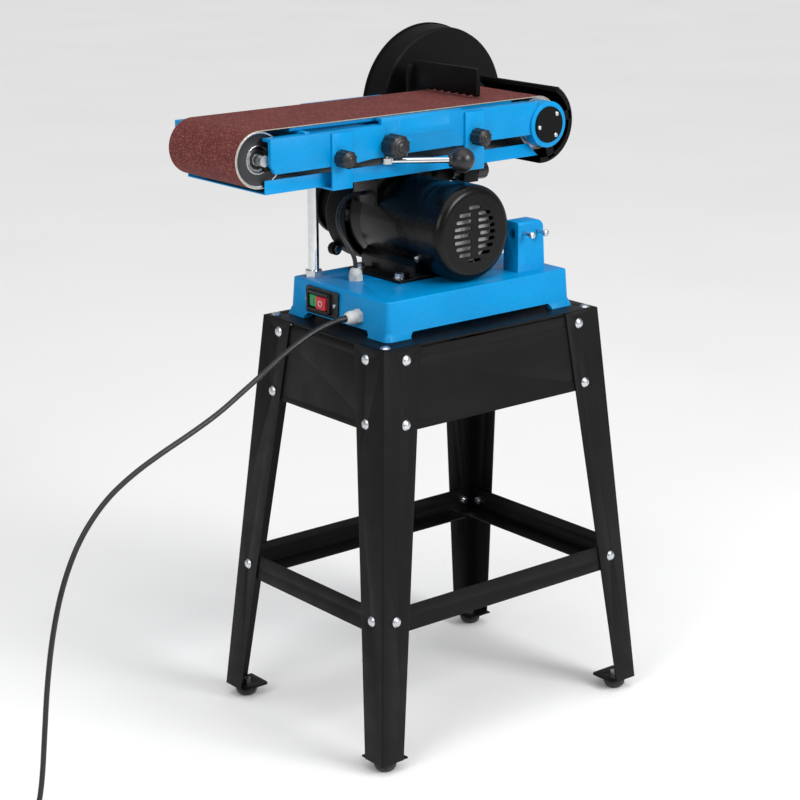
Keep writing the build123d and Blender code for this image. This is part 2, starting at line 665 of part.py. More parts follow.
machine_screws.append(facing_front(ear_x, ear_near + 15, ear_z) * nut(6.0, 5.0))

housing_low, housing_high = (motor_x, motor_z, 46.0), (drive_x, axis_z, 50.0)
nose_far, nose_r = 246.0, 30.0
spindle_housing = hull_y(housing_low, housing_high, plate_near, plate_far)
spindle_housing += side_profile([(62, 585), (138, 585), (168, 760), (60, 700)], plate_near, plate_far)
spindle_housing += block(62, 138, 120, plate_far, 585, 612)
for x in (64, 128):
    spindle_housing += side_profile([(x, 610), (x + 8, 610), (x + 8, 640), (x, 640)], 170, plate_near + 1)
spindle_housing += bar_y(drive_x, axis_z, plate_near, nose_far, nose_r)
lock_y, lock_z = 150.0, 720.0
lock_x0, lock_x1 = 178.0, 205.0
spindle_housing += block(lock_x0, lock_x1, 137, plate_near, lock_z - 14, lock_z + 14)
spindle_housing -= bar_x(lock_y, lock_z, lock_x0 - 5, lock_x1 + 5, 4 + fit)
for y0, y1 in ((plate_near + 2, plate_near + 14), (nose_far - 14, nose_far - 2)):
    spindle_housing -= bar_y(drive_x, axis_z, y0, y1, bearing_r)
spindle_housing -= bar_y(drive_x, axis_z, plate_near - 1, nose_far + 1, spindle_r + 2)
spindle_housing -= bar_y(motor_x, motor_z, plate_near - 1, plate_far + 1, 12)
nodes["spindle_housing"] = spindle_housing
for y in (plate_near + 2, nose_far - 14):
    shaft_bearings.append(ring_y(drive_x, axis_z, y, y + bearing_w, bearing_r, spindle_r + fit))
nodes["shaft_bearings"] = Compound(shaft_bearings)
nodes["spindle"] = bar_y(drive_x, axis_z, -7.5, 262.0, spindle_r)
drum_near, drum_far = belt_mid_y - drum_half, belt_mid_y + drum_half
nodes["drive_drum"] = ring_y(drive_x, axis_z, drum_near, drum_far, drum_r, spindle_r)

# arm lock: clamping screw with a lobed knob at one end and a tommy bar at the other
lock_knob = Pos(lock_x1 + 0.5, lock_y, lock_z) * Rot(0, 90, 0) * fluted(13.5, 21, 6, 1.6)
lock_knob += bar_x(lock_y, lock_z, lock_x0 - 14, lock_x1 + 3, 4)
lock_knob += bar_x(lock_y, lock_z, lock_x0 - 14, lock_x0 - 2, 6.5)
bar_place = Pos(lock_x0 - 8, lock_y, lock_z) * Rot(-40, 0, 0)
tommy_r, tommy_half = 2.0, 22.0
lock_knob -= bar_place * Cylinder(tommy_r, 60)
tommy_bar = Cylinder(tommy_r, 2 * tommy_half)
for z in (-tommy_half, tommy_half):
    tommy_bar += Pos(0, 0, z) * Sphere(3.4)
nodes["arm_lock_knob"] = Compound([lock_knob, bar_place * tommy_bar])

# Disc end
guard_wall = 1.5
guard_profile = [
    (nose_r + 1, guard_near),
    (guard_r - 6.5, guard_near),
    (guard_r - 3.2, guard_near + 1.6),
    (guard_r - 2.0, guard_near + 6.0),
    (guard_r, guard_rim - 3.0),
    (guard_r + 1.8, guard_rim - 3.0),
    (guard_r + 1.8, guard_rim),
    (guard_r - guard_wall, guard_rim),
    (guard_r - 2.0 - guard_wall, guard_near + 6.5),
    (guard_r - 6.8, guard_near + guard_wall),
    (nose_r + 1, guard_near + guard_wall),
]
disc_guard = turned_y(guard_profile, drive_x, axis_z)
for i in range(3):
    angle = math.radians(120 * i + 90)
    x, z = drive_x + 40 * math.cos(angle), axis_z + 40 * math.sin(angle)
    disc_guard -= bar_y(x, z, guard_near - 1, guard_near + 3, bolt_r + fit)
    nodes["spindle_housing"] -= bar_y(x, z, plate_near + 1, plate_far + 1, bolt_r + fit)
    head = turned([(0, 0), (5.4, 0), (4.6, 2.2), (0, 3.0)])
    screw = Pos(x, guard_near + guard_wall, z) * Rot(-90, 0, 0) * head
    machine_screws.append(screw + bar_y(x, z, plate_near + 2, guard_near + guard_wall, bolt_r))
nodes["disc_guard"] = disc_guard
nodes["machine_screws"] = Compound(machine_screws)
disc = ring_y(drive_x, axis_z, guard_rim - 8, guard_rim, disc_r, spindle_r)
disc += ring_y(drive_x, axis_z, nose_far + 0.6, guard_rim - 8, 20, spindle_r)
nodes["sanding_disc_plate"] = disc
nodes["abrasive_disc"] = bar_y(drive_x, axis_z, guard_rim, guard_rim + 1.2, disc_r)

table_x0, table_x1, table_y0, table_y1, table_top = 62.0, 352.0, 265.5, 390.0, 800.0
pin_y, pin_z, ear_gap = 292.0, 772.0, 60.0
table = block(table_x0, table_x1, table_y0, table_y1, table_top - 9, table_top)
table = fillet(table.edges().filter_by(Axis.Z), 6)
table -= block(table_x0 - 1, table_x1 + 1, 318, 337, table_top - 6, table_top + 1)
for x in (drive_x - ear_gap, drive_x + ear_gap):
    table += block(x - 4, x + 4, pin_y - 20, pin_y + 20, pin_z - 14, table_top - 9)
    table -= bar_x(pin_y, pin_z, x - 9, x + 9, 5 + fit)
nodes["disc_table"] = table
cradle_x0, cradle_x1 = drive_x - ear_gap + 4.4, drive_x + ear_gap - 4.4
bracket_near, bracket_far = pin_y - 13.0, pin_y + 13.0
table_bracket = block(90, 134, plate_far, bracket_far, 600, 620)
table_bracket += block(90, drive_x + 22, bracket_near, bracket_far, 600, 620)
table_bracket += block(drive_x - 22, drive_x + 22, bracket_near, bracket_far, 600, pin_z - 12)
table_bracket += block(cradle_x0, cradle_x1, bracket_near, bracket_far, pin_z - 27, pin_z + 9)
gap_x0, gap_x1 = cradle_x0 + 9.0, cradle_x1 - 9.0
table_bracket -= block(gap_x0, gap_x1, bracket_near - 1, bracket_far + 1, pin_z - 12, pin_z + 20)
table_bracket -= bar_x(pin_y, pin_z, cradle_x0 - 1, cradle_x1 + 1, 5 + fit)
nodes["table_bracket"] = table_bracket
pins = []
for x0, x1 in ((drive_x - ear_gap - 4.4, cradle_x0 + 11), (cradle_x1 - 11, drive_x + ear_gap + 4.4)):
    pins.append(bar_x(pin_y, pin_z, x0, x1, 5))
nodes["table_pins"] = Compound(pins)
table_knob = Pos(drive_x + ear_gap + 4.8, pin_y, pin_z) * Rot(0, 90, 0) * fluted(15, 18, 6, 1.8)
nodes["table_lock_knob"] = table_knob

# Belt arm


def arm_side(end, top):
    """The near side wall, an inward channel in three stretches, with the drive boss."""
    step_x0, step_x1, rise_x = 30.0, 54.0, -87.0
    flange_to = 12.0
    idler_top, idler_low = top, 789.5
    outline = [
        (end + 7, idler_low),
        (-138, idler_low),
        (-106, 792.5),
        (rise_x, 792.5),
        (rise_x, idler_top),
        (end, idler_top),
        (end, idler_low + 11),
    ]
    wall = side_profile(outline, arm_face, arm_face + arm_wall)
    wall += block(end, rise_x, arm_face, flange_to, idler_top - 4, idler_top)
    wall += block(rise_x, step_x0 + 4, arm_recess, arm_recess + arm_wall, 792.5, 843.0)
    wall += block(rise_x, step_x1, arm_recess, flange_to, 839.0, 843.0)
    wall += block(rise_x - 6, rise_x, arm_face, arm_recess + arm_wall, 792.5, idler_top)
    step_end, step_back = step_x1 + 4, arm_recess + arm_wall
    step = [(step_x0, arm_recess), (step_x1, arm_face), (step_end, arm_face)]
    step += [(step_end, step_back), (step_x0, step_back)]
    slant = make_face(Polyline([(x, y, 793.5) for x, y in step], close=True))
    wall += extrude(slant, amount=841.0 - 793.5, dir=(0, 0, 1))
    wall += block(step_x1, drive_x - 20, arm_face, arm_face + arm_wall, 795.0, 840.5)
    wall += block(step_x1, drive_x - 28, arm_face, flange_to, 836.5, 840.5)
    wall += bar_y(drive_x, axis_z, -9.5, flange_to, boss_r)
    return wall


boss_r = 32.5
web_x0, web_x1 = -214.0, 156.0
arm = arm_side(arm_near_end, 835.0) + far_side(arm_side(arm_far_end, 840.0))
arm += block(web_x0, web_x1, -0.5, 2 * belt_mid_y + 0.5, 816, 824)
for x in (web_x0, -60.0, 60.0, web_x1 - 8):
    arm += block(x, x + 8, -0.5, 2 * belt_mid_y + 0.5, 822, 837.8)
for x in (-60.0, 60.0, web_x1 - 8):
    arm += block(x, x + 8, -0.5, 2 * belt_mid_y + 0.5, 796, 818)
for y in (30.0, 140.0):
    arm += block(web_x0, web_x1, y, y + 9, 823, 837.8)
tongue_y0, tongue_y1 = 66.0, 113.0
arm -= block(-70, -40, tongue_y0 - 1, tongue_y1 + 1, 800.5, 810.5)
arm -= bar_y(drive_x, axis_z, -30, 30, spindle_r + 3)
arm -= bar_y(drive_x, axis_z, 150, 210, spindle_r + 3)
arm -= bar_y(drive_x, axis_z, -20, 5.5, bearing_r)
arm -= bar_y(drive_x, axis_z, 2 * belt_mid_y - 5.5, 210, bearing_r)
knob_left, knob_right, tracking = (-162.0, 799.5), (72.0, 804.0), (-77.0, 807.0)
for (x, z), y in ((knob_left, arm_face), (knob_right, arm_face), (tracking, arm_recess)):
    arm -= bar_y(x, z, y - 5, y + 9, bolt_r + fit)
lever_x, lever_y = -76.0, 3.0
arm -= bar_z(lever_x, lever_y, 780, 805, 2.5 + fit)
stop_bolt_x, stop_bolt_z = 129.0, 822.0
arm_back = 2 * belt_mid_y - arm_face
for z in (stop_bolt_z - 12, stop_bolt_z + 8):
    arm -= bar_y(stop_bolt_x, z, arm_back - 9, arm_back + 3, bolt_r + fit)
nodes["arm_casting"] = arm

arm_bearings = []
for y in (-6.6, 2 * belt_mid_y - 5.4):
    arm_bearings.append(ring_y(drive_x, axis_z, y, y + bearing_w, bearing_r, spindle_r + fit))
nodes["arm_bearings"] = Compound(arm_bearings)
cap = bar_y(drive_x, axis_z, -12.0, -9.5, 25.5)
cap = fillet(cap.edges().group_by(Axis.Y)[0], 0.8)
arm_screws = []
for angle in (47, 187, 307):
    x = drive_x + 19.5 * math.cos(math.radians(angle))
    z = axis_z + 19.5 * math.sin(math.radians(angle))
    cap -= bar_y(x, z, -13, -9, 1.6)
    screw = bar_y(x, z, -12.0, -9.6, 1.55)
    head = turned([(0, 0), (3.4, 0), (3.0, 1.2), (1.6, 2.0), (0, 2.1)])
    arm_screws.append(screw + facing_front(x, -12.0, z) * head)
nodes["bearing_cap"] = cap

platen = block(-226, 160, belt_mid_y - 73, belt_mid_y + 73, 838.0, axis_z + drum_r)
nodes["platen"] = fillet(platen.edges().filter_by(Axis.Y).group_by(Axis.Z)[-1], 3)

belt_near, belt_far = belt_mid_y - belt_width / 2, belt_mid_y + belt_width / 2
loop = hull_y((idler_x, axis_z, belt_outer_r), (drive_x, axis_z, belt_outer_r), belt_near, belt_far)
inner_r = belt_outer_r - belt_thick
loop -= hull_y((idler_x, axis_z, inner_r), (drive_x, axis_z, inner_r), 0, 200)
nodes["sanding_belt"] = loop

tray = block(tray_left, tray_right, tray_near, tray_far, tray_low, tray_low + tray_sheet)
flange_top = tray_low + 18.5
lip = [(tray_left, tray_low), (tray_right, tray_low), (tray_right - 18, flange_top), (tray_left, flange_top)]
for y in (tray_near, tray_far - tray_sheet):
    tray += side_profile(lip, y, y + tray_sheet)
straps = ((-176.0, -143.0, 833.0), (53.0, 87.0, 838.5))
for x0, x1, top in straps:
    tray += block(x0, x1, arm_face - strap_sheet, tray_near + 32, tray_low - strap_sheet, tray_low)
    tray += block(x0, x1, arm_face - strap_sheet, arm_face, tray_low - strap_sheet, top)
for x, z in (knob_left, knob_right):
    tray -= bar_y(x, z, arm_face - 5, arm_face + 1, bolt_r + fit)
nodes["dust_tray"] = tray


def small_knob(x, z, y):
    body = fluted(12.0, 20.0, 10, 0.8) + turned([(0, 19), (7.5, 19), (7.5, 21.2), (5.0, 23.4), (0, 24)])
    return facing_front(x, y, z) * body + bar_y(x, z, y - 1, y + 9, bolt_r)


nodes["tray_knob_left"] = small_knob(*knob_left, arm_face - strap_sheet)
nodes["tray_knob_right"] = small_knob(*knob_right, arm_face - strap_sheet)
tracker = fluted(16.5, 21.0, 12, 1.0) + turned([(0, 20), (11, 20), (11, 22.5), (7.5, 25.6), (0, 26.2)])
tracker += Pos(0, 0, -3.1) * Cylinder(8.0, 6.2)
tracker_y = arm_face - 0.6
nodes["tracking_knob"] = facing_front(tracking[0], tracker_y, tracking[1]) * tracker + bar_y(
    *tracking, tracker_y - 1, arm_recess + 5.5, bolt_r
)

# Idler and its tension lever
slide_travel = 8.0
yoke_end = idler_x - 1.5
yoke_plate = block(yoke_end, -226, 0.4, 5.4, 793.5, 820.5)
yoke_plate -= bar_y(idler_x, axis_z, -1, 7, idler_shaft_r)
yoke_plate -= block(yoke_end - 1, idler_x, -1, 7, axis_z - idler_shaft_r, axis_z + idler_shaft_r)
yoke = yoke_plate + far_side(yoke_plate)
yoke += block(-236, -226, 0.4, 2 * belt_mid_y - 0.4, 797, 813)
yoke += block(-230, -42, tongue_y0, tongue_y1, 802, 809)
nodes["idler_yoke"] = yoke
shaft = bar_y(idler_x, axis_z, 0.6, 2 * belt_mid_y - 0.6, idler_shaft_r)
nodes["idler_shaft"] = shaft
drum = bar_y(idler_x, axis_z, belt_mid_y - drum_half, belt_mid_y + drum_half, drum_r)
pocket_r, pocket_deep = 17.0, 14.0
for y in (belt_mid_y - drum_half, belt_mid_y + drum_half - pocket_deep):
    drum -= bar_y(idler_x, axis_z, y, y + pocket_deep, pocket_r)
drum -= bar_y(idler_x, axis_z, belt_mid_y - 55, belt_mid_y + 55, 31)
drum -= bar_y(idler_x, axis_z, belt_mid_y - 70, belt_mid_y + 70, 11)
nodes["idler_drum"] = drum
idler_bearings = []
for y in (belt_mid_y - drum_half + 3, belt_mid_y + drum_half - 14):
    idler_bearings.append(ring_y(idler_x, axis_z, y, y + 11, pocket_r, idler_shaft_r + fit))
nodes["idler_bearings"] = Compound(idler_bearings)

ball_x, ball_y, ball_z, ball_r = 9.0, -53.0, 784.5, 17.0
hub = bar_z(lever_x, lever_y, 781.5, 789.2, 8.0) + bar_z(lever_x, lever_y, 789, 804, 2.5)
rod_z = 785.2
reach = Vector(ball_x - lever_x, ball_y - lever_y, ball_z - rod_z)
arm_line = Plane(origin=(lever_x, lever_y, rod_z), z_dir=reach).location
hub += arm_line * Pos(0, 0, (6 + reach.length - ball_r + 4) / 2) * Cylinder(4.0, reach.length - ball_r - 2)
nodes["tension_lever"] = hub
ball = Sphere(ball_r) + Pos(0, 0, -ball_r - 1) * Cylinder(8.5, 10)
ball -= Pos(0, 0, -ball_r - 6) * Cylinder(4.0, 20)
nodes["lever_ball"] = arm_line * Pos(0, 0, reach.length) * ball

# Drum end guard and work stop
hood_r, hood_sheet, hood_rim = 56.5, 1.8, 48.0
hood_near, hood_far = 0.0, 168.0
hood_low, hood_high = -96.0, 60.0


def sector(radius, y0, y1):
    """A wide wedge of a disc between the two ends of the hood."""
    points = [(drive_x, axis_z)]
    count = 8
    for i in range(count + 1):
        angle = math.radians(hood_low + (hood_high - hood_low) * i / count)
        points.append((drive_x + 2 * radius * math.cos(angle), axis_z + 2 * radius * math.sin(angle)))
    return side_profile(points, y0, y1)


hood = ring_y(drive_x, axis_z, hood_near, hood_far, hood_r, hood_r - hood_sheet)
for y in (hood_near, hood_far - hood_sheet):
    hood += ring_y(drive_x, axis_z, y, y + hood_sheet, hood_r, hood_rim)
hood &= sector(hood_r, hood_near, hood_far)
roll_angle = math.radians(hood_high)
roll_r, roll_place = 3.2, hood_r - 3.0
roll_x, roll_z = drive_x + roll_place * math.cos(roll_angle), axis_z + roll_place * math.sin(roll_angle)
hood += bar_y(roll_x, roll_z, hood_near, hood_far, roll_r)
for angle in (10, -72):
    turn = Pos(drive_x, 0, axis_z) * Rot(0, -angle, 0)
    hood += turn * block(boss_r + 0.2, hood_r - 4, hood_near, hood_near + hood_sheet, -7, 7)
    hood += turn * block(boss_r + 0.2, hood_r - 4, hood_far - hood_sheet, hood_far, -7, 7)
nodes["drum_guard"] = hood

stop_x0, stop_x1, stop_low, stop_top, stop_near = 122.0, 129.0, 846.9, 886.0, 48.0
work_stop = block(stop_x0, stop_x1, stop_near, arm_back + 6.3, stop_low, stop_top)
work_stop = fillet(work_stop.edges().filter_by(Axis.X).group_by(Axis.Y)[0], 3)
pitch = 16.0
for i in range(8):
    work_stop -= bar_x(stop_near + 13 + pitch * i, stop_low - 6.5, stop_x0 - 1, stop_x1 + 1, 9.2)
foot_plate = block(stop_x0 - 10, stop_x0 + 24, arm_back + 0.3, arm_back + 6.3, 802, 880)
for z in (stop_bolt_z - 12, stop_bolt_z + 8):
    slot_x0, slot_x1 = stop_bolt_x - bolt_r - 0.3, stop_bolt_x + bolt_r + 0.3
    foot_plate -= block(slot_x0, slot_x1, arm_back - 1, arm_back + 9, z - 8, z + 4)
work_stop += foot_plate
work_stop += bar_x(62, 866, stop_x1, stop_x1 + 7, 7) + bar_x(62, 866, stop_x1 + 6.5, stop_x1 + 9, 4.5)
nodes["work_stop"] = work_stop
for z in (stop_bolt_z - 12, stop_bolt_z + 8):
    bolt = bar_y(stop_bolt_x, z, arm_back - 5, arm_back + 6.6, bolt_r)
    bolt += Pos(stop_bolt_x, arm_back + 6.6, z) * Rot(-90, 0, 0) * hex_prism(6.0, 1.6)
    arm_screws.append(bolt)
nodes["arm_screws"] = Compound(arm_screws)

# Origin and files
cord_nodes = ("power_cord", "cord_coil", "plug")
bounds = Compound([shape for name, shape in nodes.items() if name not in cord_nodes]).bounding_box()
shift = Vector(-(bounds.min.X + bounds.max.X) / 2, -(bounds.min.Y + bounds.max.Y) / 2, -bounds.min.Z)
print("origin moved by", shift, "size", bounds.size, "nodes", len(nodes))
for name, shape in nodes.items():
    export_step(Pos(shift) * shape, f"parts/{name}.step")
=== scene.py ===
import bpy
import json
import math
from mathutils import Matrix, Vector


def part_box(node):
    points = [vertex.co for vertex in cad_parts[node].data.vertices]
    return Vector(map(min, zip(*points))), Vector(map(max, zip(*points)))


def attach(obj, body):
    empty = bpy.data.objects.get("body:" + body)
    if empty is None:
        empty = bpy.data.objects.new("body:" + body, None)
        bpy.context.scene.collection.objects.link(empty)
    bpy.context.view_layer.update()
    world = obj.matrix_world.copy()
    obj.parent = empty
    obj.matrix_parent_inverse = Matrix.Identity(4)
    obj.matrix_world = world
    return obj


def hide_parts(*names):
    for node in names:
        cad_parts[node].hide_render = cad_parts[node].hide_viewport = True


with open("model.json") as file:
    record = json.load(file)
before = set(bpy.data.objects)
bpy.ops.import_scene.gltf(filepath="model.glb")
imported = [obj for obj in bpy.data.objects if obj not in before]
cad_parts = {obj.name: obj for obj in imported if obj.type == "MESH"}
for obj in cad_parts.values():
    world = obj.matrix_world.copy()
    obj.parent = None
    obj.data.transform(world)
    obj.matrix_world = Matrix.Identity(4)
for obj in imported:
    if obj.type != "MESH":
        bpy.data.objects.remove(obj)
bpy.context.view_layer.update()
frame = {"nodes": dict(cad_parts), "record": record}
nodes = frame["nodes"]
print("loaded", len(nodes), "cad nodes")

mm = 0.001
feetLow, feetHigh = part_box("rubber_feet")
standMiddle = Vector(((feetLow.x + feetHigh.x) / 2, (feetLow.y + feetHigh.y) / 2, 0))


def at(x, y, z):
    # millimetres from the middle of the stand on the floor
    return standMiddle + Vector((x, y, z)) * mm


def middleOf(nodeName):
    low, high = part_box(nodeName)
    return (low + high) / 2


def camelName(nodeName):
    first, *others = nodeName.split("_")
    return first + "".join(word.capitalize() for word in others)


# camera: a long lens from the near left, a little above the arm
cameraSetup = {
    "offset": (-1830.4, -2175.0, 1267.9), "turn": -39.196, "tilt": 73.746, "roll": -0.168,
    "lens": 95.05, "sensor": 36, "clipEnd": 50,
}
bpy.ops.object.camera_add(location=at(*cameraSetup["offset"]))
camera = bpy.context.object
camera.name = "studioCamera"
camera.data.lens = cameraSetup["lens"]
camera.data.sensor_width = cameraSetup["sensor"]
camera.data.clip_end = cameraSetup["clipEnd"]
aim = Matrix.Rotation(math.radians(cameraSetup["turn"]), 4, "Z")
aim = aim @ Matrix.Rotation(math.radians(cameraSetup["tilt"]), 4, "X")
aim = aim @ Matrix.Rotation(math.radians(cameraSetup["roll"]), 4, "Z")
camera.rotation_euler = aim.to_euler()
bpy.context.scene.camera = camera
print("camera placed")


# small helpers for working in edit mode
def clearSelection():
    if bpy.context.object and bpy.context.object.mode != "OBJECT":
        bpy.ops.object.mode_set(mode="OBJECT")
    bpy.ops.object.select_all(action="DESELECT")


def makeActive(piece):
    clearSelection()
    piece.select_set(True)
    bpy.context.view_layer.objects.active = piece


def editAll(piece):
    makeActive(piece)
    bpy.ops.object.mode_set(mode="EDIT")
    bpy.ops.mesh.select_all(action="SELECT")


def leaveEdit():
    bpy.ops.object.mode_set(mode="OBJECT")


def pick(piece, kind, elements, test):
    # selects the faces or vertices that pass a test, and stays in edit mode
    makeActive(piece)
    bpy.ops.object.mode_set(mode="EDIT")
    bpy.ops.mesh.select_mode(type=kind)
    bpy.ops.mesh.select_all(action="DESELECT")
    leaveEdit()
    for element in elements(piece.data):
        element.select = test(element)
    bpy.ops.object.mode_set(mode="EDIT")


def pickFaces(piece, test):
    pick(piece, "FACE", lambda mesh: mesh.polygons, test)


def pickVertices(piece, test):
    pick(piece, "VERT", lambda mesh: mesh.vertices, lambda vertex: test(vertex.co))


def bakePlace(piece):
    makeActive(piece)
    bpy.ops.object.transform_apply(location=True, rotation=True, scale=True)


def addModifier(piece, kind, **settings):
    makeActive(piece)
    modifier = piece.modifiers.new(kind.lower(), kind)
    for name, value in settings.items():
        setattr(modifier, name, value)
    bpy.ops.object.modifier_apply(modifier=modifier.name)


def softenCorners(piece, width, segments=2, sharper=50):
    # rounds the corners that are sharper than an angle, width in millimetres
    addModifier(piece, "BEVEL", width=width * mm, segments=segments, limit_method="ANGLE",
                angle_limit=math.radians(sharper))


def smoothEdges(piece, angle=32):
    makeActive(piece)
    bpy.ops.object.shade_smooth_by_angle(angle=math.radians(angle))


def joinTo(piece, other):
    makeActive(piece)
    other.select_set(True)
    bpy.ops.object.join()


def turnTo(piece, direction, place):
    # stands a piece that was made along +Z on a point, facing a direction
    turned = Vector(direction).to_track_quat("Z", "Y").to_matrix().to_4x4()
    piece.matrix_world = Matrix.Translation(place) @ turned
    bakePlace(piece)


def finishPiece(piece, name, body, material, stands=()):
    piece.name = name
    piece.data.materials.clear()
    for item in material if isinstance(material, (list, tuple)) else (material,):
        piece.data.materials.append(item)
    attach(piece, body)
    if stands:
        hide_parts(*stands)
    return piece


# materials
def toLinear(hexColour):
    values = [int(hexColour[i:i + 2], 16) / 255 for i in (1, 3, 5)]
    return [v / 12.92 if v <= 0.04045 else ((v + 0.055) / 1.055) ** 2.4 for v in values] + [1]


def grey(value):
    return (value, value, value, 1)


def perMetre(size):
    # a pattern's scale from its real size in millimetres
    return 1000 / size


doubledPitch = 6.28  # draws a wave's lines twice as far apart as their real pitch, so that they show


def addNode(tree, kind, inputs=None, out=0, stops=None, **settings):
    node = tree.nodes.new(kind)
    for name, value in settings.items():
        setattr(node, name, value)
    for name, value in (inputs or {}).items():
        if isinstance(value, bpy.types.NodeSocket):
            tree.links.new(value, node.inputs[name])
        else:
            node.inputs[name].default_value = value
    if stops:
        marks = node.color_ramp.elements
        marks[0].position, marks[0].color = stops[0]
        marks[1].position, marks[1].color = stops[-1]
        for position, colour in stops[1:-1]:
            marks.new(position).color = colour
    return node.outputs[out]


def newMaterial(name, **surface):
    material = bpy.data.materials.new(name)
    material.use_nodes = True
    tree = material.node_tree
    shader = tree.nodes["Principled BSDF"]
    for socket, value in surface.items():
        shader.inputs[socket.replace("_", " ")].default_value = value
    place = addNode(tree, "ShaderNodeTexCoord", out="Object")
    return material, tree, shader, place


def wearing(tree, place, size, detail, low, high):
    # two colours or greys that change into each other in blotches of a size in millimetres
    blotch = addNode(tree, "ShaderNodeTexNoise", {"Vector": place, "Scale": perMetre(size), "Detail": detail})
    return addNode(tree, "ShaderNodeValToRGB", {"Fac": blotch}, stops=[low, high])


def paint(name, hexes, grain, bumpHeight, rough, coat=0.0, grainSize=1.4, shine=0.5):
    # sprayed enamel: slow drifts of tone, a fine skin, and wiped and dull patches
    material, tree, shader, place = newMaterial(name, IOR=1.5, Coat_Weight=coat, Coat_Roughness=0.12,
                                                Specular_IOR_Level=shine)
    tone = wearing(tree, place, 90, 2, (0.35, toLinear(hexes[0])), (0.65, toLinear(hexes[1])))
    specks = addNode(tree, "ShaderNodeTexNoise", {"Vector": place, "Scale": perMetre(grainSize), "Detail": 5,
                                                  "Roughness": 0.65})
    shade = addNode(tree, "ShaderNodeValToRGB", {"Fac": specks},
                    stops=[(0.3, grey(1 - grain)), (0.7, grey(1))])
    colour = addNode(tree, "ShaderNodeMix", {0: 1.0, 6: tone, 7: shade}, 2, data_type="RGBA",
                     blend_type="MULTIPLY")
    tree.links.new(colour, shader.inputs["Base Color"])
    wiped = wearing(tree, place, 28, 4, (0.3, grey(rough[0])), (0.7, grey(rough[1])))
    tree.links.new(wiped, shader.inputs["Roughness"])
    skin = addNode(tree, "ShaderNodeBump", {"Height": specks, "Strength": 0.5, "Distance": bumpHeight * mm})
    tree.links.new(skin, shader.inputs["Normal"])
    return material


def metal(name, hexes, rough, scratch, axis=None, lineWidth=0.6):
    # bare or plated metal: tool marks as fine lines along an axis, drawn wider than real so that they show
    material, tree, shader, place = newMaterial(name, Metallic=1.0)
    tone = wearing(tree, place, 9, 4, (0.3, toLinear(hexes[0])), (0.7, toLinear(hexes[1])))
    tree.links.new(tone, shader.inputs["Base Color"])
    worn = wearing(tree, place, 5, 5, (0.25, grey(rough[0])), (0.75, grey(rough[1])))
    tree.links.new(worn, shader.inputs["Roughness"])
    stretch = {"Y": (5, 0.125, 5), "Z": (5, 5, 0.125), None: (1, 1, 1)}[axis]
    lines = addNode(tree, "ShaderNodeMapping", {"Vector": place, "Scale": stretch})
    marks = addNode(tree, "ShaderNodeTexNoise", {"Vector": lines, "Scale": perMetre(lineWidth * 4),
                                                 "Detail": 3})
    bump = addNode(tree, "ShaderNodeBump", {"Height": marks, "Strength": scratch, "Distance": 0.08 * mm})
    tree.links.new(bump, shader.inputs["Normal"])
    return material


def moulded(name, hexes, rough, grainSize=1.0, bumpHeight=0.04, sheen=0.0):
    # injection or compression moulding: fine spark-eroded grain, faint flow marks and rubbed spots
    material, tree, shader, place = newMaterial(name, IOR=1.49, Sheen_Weight=sheen)
    flow = wearing(tree, place, 14, 3, (0.3, toLinear(hexes[0])), (0.7, toLinear(hexes[1])))
    tree.links.new(flow, shader.inputs["Base Color"])
    rubbed = wearing(tree, place, 6, 4, (0.3, grey(rough[0])), (0.7, grey(rough[1])))
    tree.links.new(rubbed, shader.inputs["Roughness"])
    grain = addNode(tree, "ShaderNodeTexNoise", {"Vector": place, "Scale": perMetre(grainSize), "Detail": 2})
    bump = addNode(tree, "ShaderNodeBump", {"Height": grain, "Strength": 0.4, "Distance": bumpHeight * mm})
    tree.links.new(bump, shader.inputs["Normal"])
    return material


def abrasiveCloth(name, hexes, gritSize):
    # aluminium oxide grit glued to cloth, drawn coarser than its 0.3 mm so that single grains show
    material, tree, shader, place = newMaterial(name, Specular_IOR_Level=0.25, Roughness=0.9)
    dark, middle, bright = [toLinear(hexColour) for hexColour in hexes]
    depth = addNode(tree, "ShaderNodeTexVoronoi", {"Vector": place, "Scale": perMetre(gritSize),
                                                   "Randomness": 1.0}, "Distance")
    grainTone = addNode(tree, "ShaderNodeSeparateColor", {"Color": depth.node.outputs["Color"]})
    speckle = addNode(tree, "ShaderNodeValToRGB", {"Fac": grainTone},
                      stops=[(0.0, dark), (0.45, middle), (0.86, middle), (1.0, bright)])
    patches = wearing(tree, place, 22, 3, (0.3, grey(0.86)), (0.7, grey(1.06)))
    colour = addNode(tree, "ShaderNodeMix", {0: 1.0, 6: speckle, 7: patches}, 2, data_type="RGBA",
                     blend_type="MULTIPLY")
    tree.links.new(colour, shader.inputs["Base Color"])
    bump = addNode(tree, "ShaderNodeBump", {"Height": depth, "Strength": 0.55, "Distance": 0.35 * mm},
                   invert=True)
    tree.links.new(bump, shader.inputs["Normal"])
    return material


def clothBacking(name, hexes, threadPitch):
    # woven cotton: pale threads with a soft sheen
    material, tree, shader, place = newMaterial(name, Roughness=0.85, Sheen_Weight=0.3)
    warp = addNode(tree, "ShaderNodeTexWave", {"Vector": place, "Scale": perMetre(threadPitch * doubledPitch),
                                               "Distortion": 1.2}, "Fac", bands_direction="Y")
    threads = addNode(tree, "ShaderNodeValToRGB", {"Fac": warp},
                      stops=[(0.1, toLinear(hexes[0])), (0.9, toLinear(hexes[1]))])
    tree.links.new(threads, shader.inputs["Base Color"])
    bump = addNode(tree, "ShaderNodeBump", {"Height": warp, "Strength": 0.5, "Distance": 0.15 * mm})
    tree.links.new(bump, shader.inputs["Normal"])
    return material


